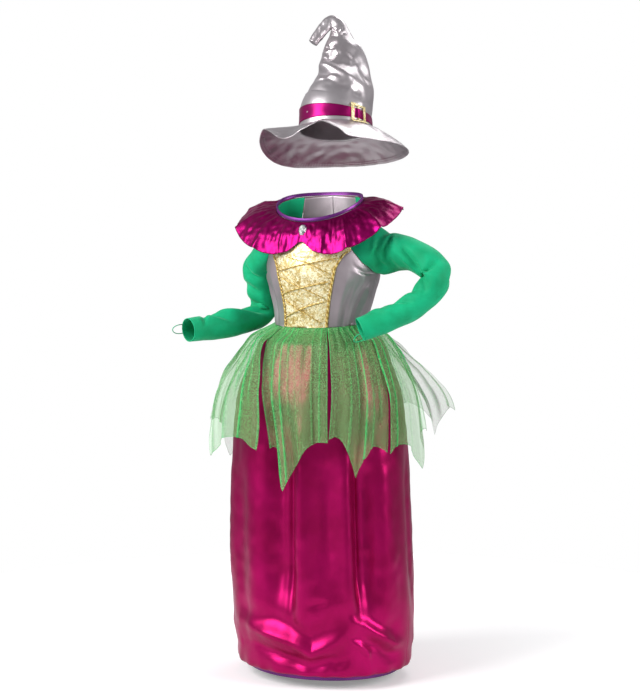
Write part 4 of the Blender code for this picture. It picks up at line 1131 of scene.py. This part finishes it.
def organza_finish(name, pale, deep, ply, glint):
    """Sheer organza: crossing threads with gaps between them, and glitter dust on the threads."""
    material, tree, shader = new_finish(name, {"Roughness": 0.55, "Specular IOR Level": 0.2})
    where = node(tree, "TexCoord").outputs["Object"]
    plies = node(tree, "UVMap", uv_map="plies").outputs["UV"]
    density = node(tree, "SeparateXYZ", {"Vector": plies}).outputs["X"]
    dust = node(tree, "TexVoronoi", {"Vector": where, "Scale": 1100.0})
    speck = node(tree, "SeparateColor", {"Color": dust.outputs["Color"]}).outputs["Red"]
    lit = node(tree, "Math", {0: speck, 1: 0.82}, operation="GREATER_THAN").outputs[0]
    # The thinnest cloth takes the pale colour: painted light from behind shining through it, on top of its
    # real see-through
    cloth = ramp(tree, density, ((0.14, pale), (0.27, deep), (0.55, ply)))
    colour = node(tree, "Mix", {"Factor": lit, "A": cloth, "B": (*glint, 1.0)}, data_type="RGBA")
    tree.links.new(colour.outputs["Result"], shader.inputs["Base Color"])
    shown = node(tree, "Math", {0: lit, 1: 0.10, 2: density}, operation="MULTIPLY_ADD", use_clamp=True)
    tree.links.new(shown.outputs[0], shader.inputs["Alpha"])
    return material


# The first, palest colour is painted light from behind shining through the thinnest cloth
GREEN_ORGANZA = organza_finish("green_organza_cloth", (0.34, 0.88, 0.42), (0.10, 0.36, 0.09),
                               (0.02, 0.58, 0.14), (0.45, 0.72, 0.36))
PETAL_FLAT = (0.30, 0.33)
PETAL_PLEATS = 9
PLEAT_WIDTH = 0.016
PLEAT_DEPTH = 0.0050
SLACK_FINE = 0.0010
SLACK_BROAD = 0.0030
ROLLED_WIDTH = 0.0030
FLARED_TURN = 62.0
FLARED_REACH = 26.0


def pleats(across, level, number):
    """Long narrow folds that fan out from the waist seam, each of its own strength."""
    total = np.zeros_like(across)
    for pleat in range(PETAL_PLEATS):
        own = sin(12.9 * pleat + 7.7 * number)
        middle = (pleat + 0.5 + 0.40 * own) / PETAL_PLEATS + 0.07 * own * level
        width = PLEAT_WIDTH * (0.55 + 0.40 * level * (1 + own))
        strength = 0.55 + 0.75 * sin(5.3 * pleat + 2.1 * number) ** 3
        reach = smooth((1.15 + 0.5 * sin(3.7 * pleat + number) - level) * 4)
        total += strength * reach * np.exp(-((across - middle) / width) ** 2)
    return total


def petal_piece(number, petal):
    """Makes one petal, denser where its cloth is gathered and along its rolled edge, and thinner at the
    sides of the view, where it is painted pale as if lit from behind.
    """
    def surface(across, along):
        level = 1 - along
        turn = VIEW_TURN + petal_turn(petal, across, level)
        top = waist_height(turn) - SEAM
        height = lerp(top, petal_end(petal, 2 * across - 1), level)
        drop = top - height
        out = SKIRT_TOP_INSET + PETAL_SEAM_LIFT + PETAL_CLEARANCE * (1 - np.exp(-drop / GATHER_START))
        out += petal.flare_top * (1 - np.exp(-drop / FLARE_START)) + petal.flare_low * smooth(level)
        out += gather(across, PETAL_GATHERS, drop, GATHER_DEPTH * 1.3)
        out += PETAL_FLUTE_DEPTH * level * np.cos(2 * pi * PETAL_FLUTES * across + 0.8)
        return skirt_shape(turn, height, out)

    def relief(across, along, points):
        ways = points * np.array((1.0, 1.0, 0.15))
        slow = SLACK_FINE * wander(ways, 0.012, 31 + number) + SLACK_BROAD * wander(ways, 0.030, 41 + number)
        ridges = PLEAT_DEPTH * pleats(across, 1 - along, number) * (0.35 + 0.65 * smooth((1 - along) * 2))
        return (slow + ridges) * smooth((1 - along) * 12)

    name = f"organza_petal_{number}"
    mesh = sew(name, surface, 100, 90, PETAL_FLAT, relief)
    threads = mesh.uv_layers["weave"].data
    spots = np.empty(len(threads) * 2)
    threads.foreach_get("uv", spots)
    across, along = spots[0::2] / PETAL_FLAT[0], spots[1::2] / PETAL_FLAT[1]
    level = 1 - along
    edge = np.minimum(np.minimum(across, 1 - across) * PETAL_FLAT[0] * 0.6, along * PETAL_FLAT[1])
    rolled = 0.20 * (edge < ROLLED_WIDTH)
    # Thinner cloth at the sides of the view, where the petals stand out from the skirt; its pale colour
    # there is painted light from behind shining through
    beyond = smooth((np.abs(wrapped(petal_turn(petal, across, level))) - FLARED_TURN) / FLARED_REACH)
    flared_backlit = smooth(level * 1.6) * max(beyond.max(), 0) * beyond
    gathered = 0.16 * np.exp(-level * PETAL_FLAT[1] / 0.04)
    density = 0.29 - 0.15 * flared_backlit + gathered + rolled + 0.34 * pleats(across, level, number)
    plies = mesh.uv_layers.new(name="plies")
    plies.data.foreach_set("uv", np.repeat(np.clip(density, 0, 1), 2))
    wear(name, mesh, GREEN_ORGANZA, (f"petal_{number}",),
         ORGANZA)


for number, petal in enumerate(PETALS):
    petal_piece(number + 1, petal)

# Collar: a wide winged collar of crisp magenta metal-look cloth, pleated into the neckline, with
# a violet satin binding that stands round the neck above it.

COLLAR_HALF = table(
    "turn width drop flute",
    (0.0, 0.048, 62.0, 0.0000),
    (14.0, 0.070, 64.0, 0.0015),
    (30.0, 0.086, 60.0, 0.0030),
    (50.0, 0.098, 44.0, 0.0045),
    (70.0, 0.100, 27.0, 0.0055),
    (90.0, 0.093, 13.0, 0.0055),
    (110.0, 0.090, 11.0, 0.0050),
    (140.0, 0.088, 20.0, 0.0045),
    (180.0, 0.085, 29.0, 0.0040),
)
COLLAR_STAND_OFF = 0.0020
COLLAR_FLUTES = 15
COLLAR_BULGE = 0.10
COLLAR_CRINKLE = 0.0016
COLLAR_RIPPLE = 0.0012
BINDING_HEIGHT = 0.008
BINDING_THICKNESS = 0.0035
BINDING_OUT = BINDING_THICKNESS - 0.001


def all_round(rows):
    """Carries a table of turns past both ends, so that it reads smoothly where it closes."""
    first = rows[-2]._replace(turn=rows[-2].turn - 360)
    last = rows[1]._replace(turn=rows[1].turn + 360)
    return (first, *rows, last)


COLLAR = all_round(tuple(row._replace(turn=-row.turn) for row in COLLAR_HALF[:0:-1]) + COLLAR_HALF)


def collar_frame(turn):
    """Start of the collar at the neckline, its way out and down, and its upper side."""
    row = read(COLLAR, turn)
    base = torso(turn, neck_height(turn))
    outward = torso(turn, neck_height(turn), 1.0) - base
    drop = np.radians(row.drop)[..., None]
    up = np.array((0.0, 0.0, 1.0))
    fall = outward * np.cos(drop) - up * np.sin(drop)
    upper = outward * np.sin(drop) + up * np.cos(drop)
    return row, base + outward * COLLAR_STAND_OFF - up * SEAM, fall, upper


def collar(across, along):
    """The collar, from its outer edge (along 0) to the neckline, with standing pleats."""
    turn = 360 * across - 180
    row, start, fall, upper = collar_frame(turn)
    share = 1 - along
    phase = np.radians(COLLAR_FLUTES * turn + 40 * np.sin(np.radians(2 * turn)))
    wave = 1 - 2 * np.abs(np.sin(phase / 2 + 0.25 * np.sin(phase))) ** 0.8
    crimp = 0.35 * np.cos(2 * phase + 1.0) * np.exp(-share * 3)
    lift = row.flute * (wave + crimp) * share ** 1.2 + COLLAR_BULGE * row.width * np.sin(pi * share)
    return start + fall * (row.width * share)[..., None] + upper * lift[..., None]


def collar_relief(across, along, points):
    """Crinkles of crisp cloth, finest near the neckline."""
    turn = 2 * pi * across
    ray = np.stack((np.cos(turn) * 0.10, np.sin(turn) * 0.10, (1 - along) * 0.02), axis=-1)
    fine = COLLAR_CRINKLE * wander(ray, 0.006, 51) + COLLAR_RIPPLE * wander(points, 0.012, 52)
    return fine * smooth((1 - along) * 6)


MAGENTA_LAME = satin_finish("magenta_lame_cloth", (0.24, 0.001, 0.085), (0.36, 0.002, 0.130), 0.85, 0.36,
                            bump=0.25)
COLLAR_FLAT = (1.05, 0.10)
mesh = sew("lame_collar", collar, 420, 44, COLLAR_FLAT, collar_relief)
wear("lame_collar", mesh, MAGENTA_LAME, ("collar",))


def binding(across, along):
    """The satin binding that stands on the neckline, over the collar's edge."""
    turn = 360 * across - 180
    points = torso(turn, neck_height(turn), BINDING_OUT - BAND_ROUNDING * (2 * along - 1) ** 2)
    points[..., 2] = neck_height(turn) + SEAM + BINDING_HEIGHT * along
    return points


BINDING_FLAT = (0.55, 0.010)
mesh = sew("violet_binding", binding, 240, 6, BINDING_FLAT)
wear("violet_binding", mesh, VIOLET_SATIN, ("neck_binding",),
     wall=BINDING_THICKNESS)

# Brooch: a cut glass stone of eight sides in a silver-coloured setting, sewn on where the two
# wings of the collar meet.

BROOCH_WIDTH = 0.018
BROOCH_HEIGHT = 0.026
SETTING_THICKNESS = 0.0030
STONE_THICKNESS = 0.0040
BROOCH_SHARE = 0.45
STONE_WIDTH = BROOCH_WIDTH * 0.72
STONE_HEIGHT = BROOCH_HEIGHT * 0.78
BROOCH_BEVEL = 0.0006
SILVER, silver_tree, silver_shader = new_finish("brooch_silver", {"Metallic": 0.95})
where = node(silver_tree, "TexCoord").outputs["Object"]
scratches = node(silver_tree, "TexNoise", {"Vector": where, "Scale": 900.0}).outputs["Fac"]
silver_tree.links.new(ramp(silver_tree, scratches, ((0.3, (0.45, 0.46, 0.47)), (0.7, (0.72, 0.73, 0.74)))),
                      silver_shader.inputs["Base Color"])
worn = node(silver_tree, "MapRange", {"Value": scratches, "To Min": 0.12, "To Max": 0.4}).outputs["Result"]
silver_tree.links.new(worn, silver_shader.inputs["Roughness"])
CRYSTAL, crystal_tree, crystal_shader = new_finish("cut_glass", {
    "Metallic": 0.25, "Roughness": 0.06, "IOR": 1.7, "Coat Weight": 0.6, "Coat Roughness": 0.03})
where = node(crystal_tree, "TexCoord").outputs["Object"]
# The stone's colour is painted with light and dark glints in small random cells, standing in for the light
# its cut faces reflect
glints = node(crystal_tree, "TexVoronoi", {"Vector": where, "Scale": 260.0})
tone = node(crystal_tree, "SeparateColor", {"Color": glints.outputs["Color"]}).outputs["Red"]
painted_glint_tones = ((0.1, (0.30, 0.42, 0.38)), (0.5, (0.62, 0.72, 0.66)), (0.9, (0.95, 0.97, 0.92)))
crystal_tree.links.new(ramp(crystal_tree, tone, painted_glint_tones), crystal_shader.inputs["Base Color"])
row, start, fall, upper = collar_frame(np.array(0.0))
bulge = COLLAR_BULGE * row.width * sin(pi * BROOCH_SHARE)
seat = start + fall * (row.width * BROOCH_SHARE) + upper * (bulge + SEAM * 3)
turned = Matrix((np.cross(fall, upper), fall, upper)).transposed()


def jewel(name, width, height, low, thick, top, material, node_name):
    """One part of the brooch: eight bevelled sides round a flat top."""
    cut = bmesh.new()
    bmesh.ops.create_cone(cut, cap_ends=True, segments=8, radius1=0.5, radius2=top, depth=1)
    bmesh.ops.rotate(cut, verts=cut.verts, matrix=Matrix.Rotation(pi / 8, 3, "Z"))
    for vertex in cut.verts:
        local = Vector((vertex.co.x * width, vertex.co.y * height, low + (vertex.co.z + 0.5) * thick))
        vertex.co = Vector(seat) + turned @ local
    bmesh.ops.bevel(cut, geom=cut.edges[:], offset=BROOCH_BEVEL, offset_type="OFFSET", affect="EDGES",
                    segments=2, profile=0.5, material=-1)
    mesh = bpy.data.meshes.new(name)
    cut.to_mesh(mesh)
    cut.free()
    dress(name, mesh, material, (node_name,))


jewel("silver_setting", BROOCH_WIDTH, BROOCH_HEIGHT, 0.0, SETTING_THICKNESS, 0.42, SILVER, "brooch_setting")
jewel("glass_stone", STONE_WIDTH, STONE_HEIGHT, SETTING_THICKNESS + SEAM, STONE_THICKNESS, 0.34, CRYSTAL,
      "brooch_stone")

# Hat crown: a tall soft cone of silver satin that creases under its own weight, with its tip
# folded over to one side.

HAT_PLACE = (0.0306, 0.015, 0.170)
HAT_TILT = -13.0
CROWN = table(
    "share x z half_width half_depth",
    (0, 0.0000, 0.0000, 0.0795, 0.0795),
    (1, 0.0000, 0.0350, 0.0790, 0.0790),
    (2, 0.0077, 0.0594, 0.0747, 0.0740),
    (3, 0.0146, 0.0895, 0.0690, 0.0670),
    (4, 0.0165, 0.1289, 0.0576, 0.0550),
    (5, 0.0154, 0.1636, 0.0472, 0.0440),
    (6, 0.0121, 0.1926, 0.0365, 0.0330),
    (7, 0.0099, 0.2162, 0.0250, 0.0220),
    (8, 0.0050, 0.2380, 0.0165, 0.0150),
    (9, -0.0095, 0.2475, 0.0150, 0.0130),
    (10, -0.0260, 0.2325, 0.0135, 0.0120),
    (11, -0.0385, 0.2158, 0.0125, 0.0115),
    (12, -0.0495, 0.1995, 0.0105, 0.0100),
)
TIP_SHARE = 0.985
HAT_FRAME = np.array(Matrix.Translation(HAT_PLACE) @ Matrix.Rotation(radians(VIEW_TURN), 4, "Z")
                     @ Matrix.Rotation(radians(HAT_TILT), 4, "X"))


def hatted(points):
    """Brings points of the hat into the costume's frame."""
    return points @ HAT_FRAME[:3, :3].T + HAT_FRAME[:3, 3]


def crown_local(turn, share, out=0.0):
    """Points on the crown in the hat's own frame."""
    here = read(CROWN, share)
    ahead = read(CROWN, share + 0.1)
    behind = read(CROWN, share - 0.1)
    rise = unit(np.stack((ahead.x - behind.x, ahead.z - behind.z), axis=-1))
    angle = np.radians(turn)
    wide = (here.half_width + out) * np.sin(angle)
    return np.stack((here.x + rise[..., 1] * wide, -(here.half_depth + out) * np.cos(angle),
                     here.z - rise[..., 0] * wide), axis=-1)


def hat_crown(across, along):
    """The pointed crown, whose closed tip is folded over to one side."""
    share = along / TIP_SHARE * CROWN[-1].share
    points = crown_local(360 * across - 180, np.minimum(share, CROWN[-1].share))
    end = np.array((CROWN[-1].x, 0.0, CROWN[-1].z))
    closing = smooth((along - TIP_SHARE) / (1 - TIP_SHARE))[..., None]
    return hatted(lerp(points, end, closing))


# Crown creases, as routes of (turn, row of the crown)
CROWN_CREASES = table(
    CREASE,
    (((-60.0, 7.6), (-20.0, 7.2), (15.0, 7.4)), 0.0050, -0.0068),
    (((-50.0, 7.1), (-10.0, 6.7), (25.0, 6.9)), 0.0040, 0.0041),
    (((-75.0, 6.0), (-45.0, 5.6), (-20.0, 5.8)), 0.0060, -0.0061),
    (((-70.0, 5.0), (-40.0, 4.7), (-12.0, 4.9)), 0.0070, -0.0074),
    (((-80.0, 5.5), (-50.0, 5.2), (-20.0, 5.35)), 0.0050, 0.0041),
    (((-85.0, 4.6), (-40.0, 4.1), (0.0, 3.5), (40.0, 2.6)), 0.0090, 0.0074),
    (((-85.0, 4.0), (-45.0, 3.6), (-15.0, 3.1)), 0.0070, -0.0068),
    (((-60.0, 3.2), (-25.0, 3.35), (5.0, 3.0)), 0.0050, 0.0047),
    (((-20.0, 2.6), (15.0, 3.0), (50.0, 2.3)), 0.0100, -0.0061),
    (((0.0, 5.6), (30.0, 4.8), (55.0, 3.6), (65.0, 2.4)), 0.0120, -0.0061),
    (((-10.0, 4.4), (20.0, 4.1), (40.0, 4.4)), 0.0090, -0.0047),
    (((50.0, 6.2), (70.0, 4.8), (80.0, 3.2)), 0.0100, 0.0047),
    (((110.0, 5.2), (140.0, 4.6), (175.0, 4.9)), 0.0090, -0.0068),
    (((105.0, 3.6), (140.0, 3.1), (178.0, 3.5)), 0.0100, 0.0068),
    (((-110.0, 3.4), (-140.0, 3.0), (-175.0, 3.4)), 0.0100, -0.0061),
    (((-105.0, 5.2), (-135.0, 4.8), (-165.0, 5.1)), 0.0080, 0.0045),
)
CROWN_FLAT = (0.50, 0.34)
CROWN_RADIUS = 0.055
CROWN_ROW = 0.030
CROWN_SLACK = 0.0060
CROWN_RIPPLE = 0.0010
TIP_CRINKLE = 0.0007


def crown_relief(across, along, points):
    """The crown's slack dents, crinkles in the folded tip, and none under the ribbon."""
    turn = 360 * across - 180
    row = np.minimum(along / TIP_SHARE * CROWN[-1].share, CROWN[-1].share)
    scale = (CROWN_RADIUS * pi / 180, CROWN_ROW)
    dents = press(turn, row, scale, CROWN_CREASES)
    slack = read(CROWN, row).half_width / CROWN[0].half_width
    slow = CROWN_SLACK * slack * wander(points, 0.050, 61) + CROWN_RIPPLE * wander(points, 0.022, 62)
    tip = TIP_CRINKLE * wander(points, 0.008, 63) * smooth((row - 7.5) / 1.5)
    above_band = smooth((row - 1.15) / 0.8)
    left_over = CROWN[-1].share - row
    return above_band * (dents + slow) * smooth(left_over * 2) + tip * smooth(left_over * 3)


SILVER_SATIN = satin_finish("silver_satin_cloth", (0.54, 0.49, 0.51), (0.64, 0.60, 0.62), 0.85, 0.34)
mesh = sew("silver_crown", hat_crown, 200, 190, CROWN_FLAT, crown_relief)
wear("silver_crown", mesh, SILVER_SATIN, ("hat_crown",))

# Hat brim: a wide ring of the same satin over a stiff lining, wavy at its double-stitched edge.

BRIM = all_round(table(
    "turn radius height",
    (-180.0, 0.158, -0.038),
    (-127.0, 0.160, -0.049),
    (-90.0, 0.166, -0.029),
    (-72.0, 0.164, -0.012),
    (-44.0, 0.159, -0.052),
    (-26.0, 0.158, -0.039),
    (-12.0, 0.158, -0.025),
    (0.0, 0.158, -0.039),
    (10.0, 0.158, -0.0575),
    (32.0, 0.158, -0.060),
    (68.0, 0.160, -0.055),
    (136.0, 0.158, -0.042),
    (180.0, 0.158, -0.038),
))
BRIM_INNER = 0.0802


def brim(across, along):
    """The wavy brim, from its outer edge (along 0) to the crown."""
    turn = 360 * across - 180
    row = read(BRIM, turn)
    share = 1 - along
    radius = lerp(BRIM_INNER, row.radius, share)
    height = row.height * (0.55 * share + 0.45 * share * share)
    angle = np.radians(turn)
    return hatted(np.stack((radius * np.sin(angle), -radius * np.cos(angle), height), axis=-1))


STITCH_ROWS = (0.0045, 0.0085)
STITCH_DEPTH = 0.0006
STITCH_WIDTH = 0.0009
BRIM_PUCKERS = 150
BRIM_PUCKER_DEPTH = 0.0005
BRIM_RIPPLE = 0.0014


def brim_relief(across, along, points):
    """Two rows of stitching near the edge, and slight waves between."""
    inset = along * (BRIM[0].radius - BRIM_INNER)
    grooves = sum(-STITCH_DEPTH * np.exp(-((inset - row) / STITCH_WIDTH) ** 2) for row in STITCH_ROWS)
    puckers = BRIM_PUCKER_DEPTH * np.cos(2 * pi * BRIM_PUCKERS * across)
    puckers *= np.exp(-((inset - 0.006) / 0.005) ** 2)
    return grooves + puckers + BRIM_RIPPLE * wander(points, 0.022, 71) * smooth((1 - along) * 5)


BRIM_FLAT = (0.76, 0.08)
mesh = sew("silver_brim", brim, 420, 60, BRIM_FLAT, brim_relief)
wear("silver_brim", mesh, SILVER_SATIN, ("hat_brim",))

# Hat ribbon and buckle: a magenta ribbon round the foot of the crown, threaded through a stiff
# buckle that is covered in gold glitter, over its middle bar.

BAND_LOW = 0.009
BAND_HIGH = 0.035
RIBBON = 0.0008
RIBBON_LIFT = 0.0012
BUCKLE_TURN = 37.5
BUCKLE_WIDTH = 0.037
BUCKLE_HEIGHT = 0.050
BUCKLE_RAIL = 0.0065
BUCKLE_BAR = 0.0050
BUCKLE_THICKNESS = 0.0020
BUCKLE_LIFT = 0.0041
BAR_LIFT = 0.0024
RIBBON_OVER_BAR = 0.0023
RIBBON_SLACK = 0.0006
RIBBON_RISE_TURN = 4.0
BUCKLE_KICK = 1.1
BUCKLE_KICK_FROM = 0.004


def band_point(turn, height, out):
    """Points on the crown's lowest stretch, which is straight from its first row to the next."""
    low = crown_local(turn, np.zeros_like(turn), out)
    high = crown_local(turn, np.ones_like(turn), out)
    return hatted(lerp(low, high, (height / CROWN[1].z)[..., None]))


def ribbon(across, along):
    """The ribbon round the crown, which rides over the buckle's middle bar."""
    turn = 360 * across - 180
    over = RIBBON_OVER_BAR * np.exp(-((turn - BUCKLE_TURN) / RIBBON_RISE_TURN) ** 4)
    slack = RIBBON_SLACK * (np.sin(np.radians(9 * turn)) * np.sin(pi * along) + 0.5)
    return band_point(turn, lerp(BAND_LOW, BAND_HIGH, along), RIBBON_LIFT + over + slack)


MAGENTA_RIBBON = satin_finish("magenta_ribbon", (0.22, 0.001, 0.080), (0.34, 0.003, 0.130), 0.75, 0.33)
RIBBON_FLAT = (0.505, 0.026)
mesh = sew("magenta_ribbon_band", ribbon, 480, 16, RIBBON_FLAT)
wear("magenta_ribbon_band", mesh, MAGENTA_RIBBON, ("hat_band",),
     wall=RIBBON)

GOLD_GLITTER = glitter_finish("gold_glitter_board", (0.42, 0.28, 0.05), (0.78, 0.62, 0.24),
                              (1.0, 0.95, 0.70), 0.0011, 0.5)


def buckle_frame():
    """The buckle: a frame of four rails and a middle bar, bent to the crown."""
    half_width, half_height = BUCKLE_WIDTH / 2, BUCKLE_HEIGHT / 2
    plate = bmesh.new()
    bmesh.ops.create_grid(plate, x_segments=74, y_segments=100, size=0.5)
    bmesh.ops.scale(plate, verts=plate.verts, vec=(BUCKLE_WIDTH, BUCKLE_HEIGHT, 1))
    openings = []
    for face in plate.faces:
        middle = face.calc_center_median()
        within = abs(middle.y) < half_height - BUCKLE_RAIL
        if within and BUCKLE_BAR / 2 < abs(middle.x) < half_width - BUCKLE_RAIL:
            openings.append(face)
    bmesh.ops.delete(plate, geom=openings, context="FACES")
    bottom = (BAND_LOW + BAND_HIGH) / 2
    for vertex in plate.verts:
        height = bottom + vertex.co.y
        under = abs(vertex.co.x) < BUCKLE_BAR and abs(vertex.co.y) < half_height - BUCKLE_RAIL - 0.001
        lift = BAR_LIFT if under else BUCKLE_LIFT + BUCKLE_KICK * max(BUCKLE_KICK_FROM - height, 0)
        turn = BUCKLE_TURN + vertex.co.x / CROWN[0].half_width * 180 / pi
        vertex.co = band_point(np.array(turn), np.array(height), lift)
    mesh = bpy.data.meshes.new("glitter_buckle")
    plate.to_mesh(mesh)
    plate.free()
    mesh.shade_smooth()
    return mesh


buckle = dress("glitter_buckle", buckle_frame(), GOLD_GLITTER, ("hat_buckle",))
thicken(buckle, BUCKLE_THICKNESS)
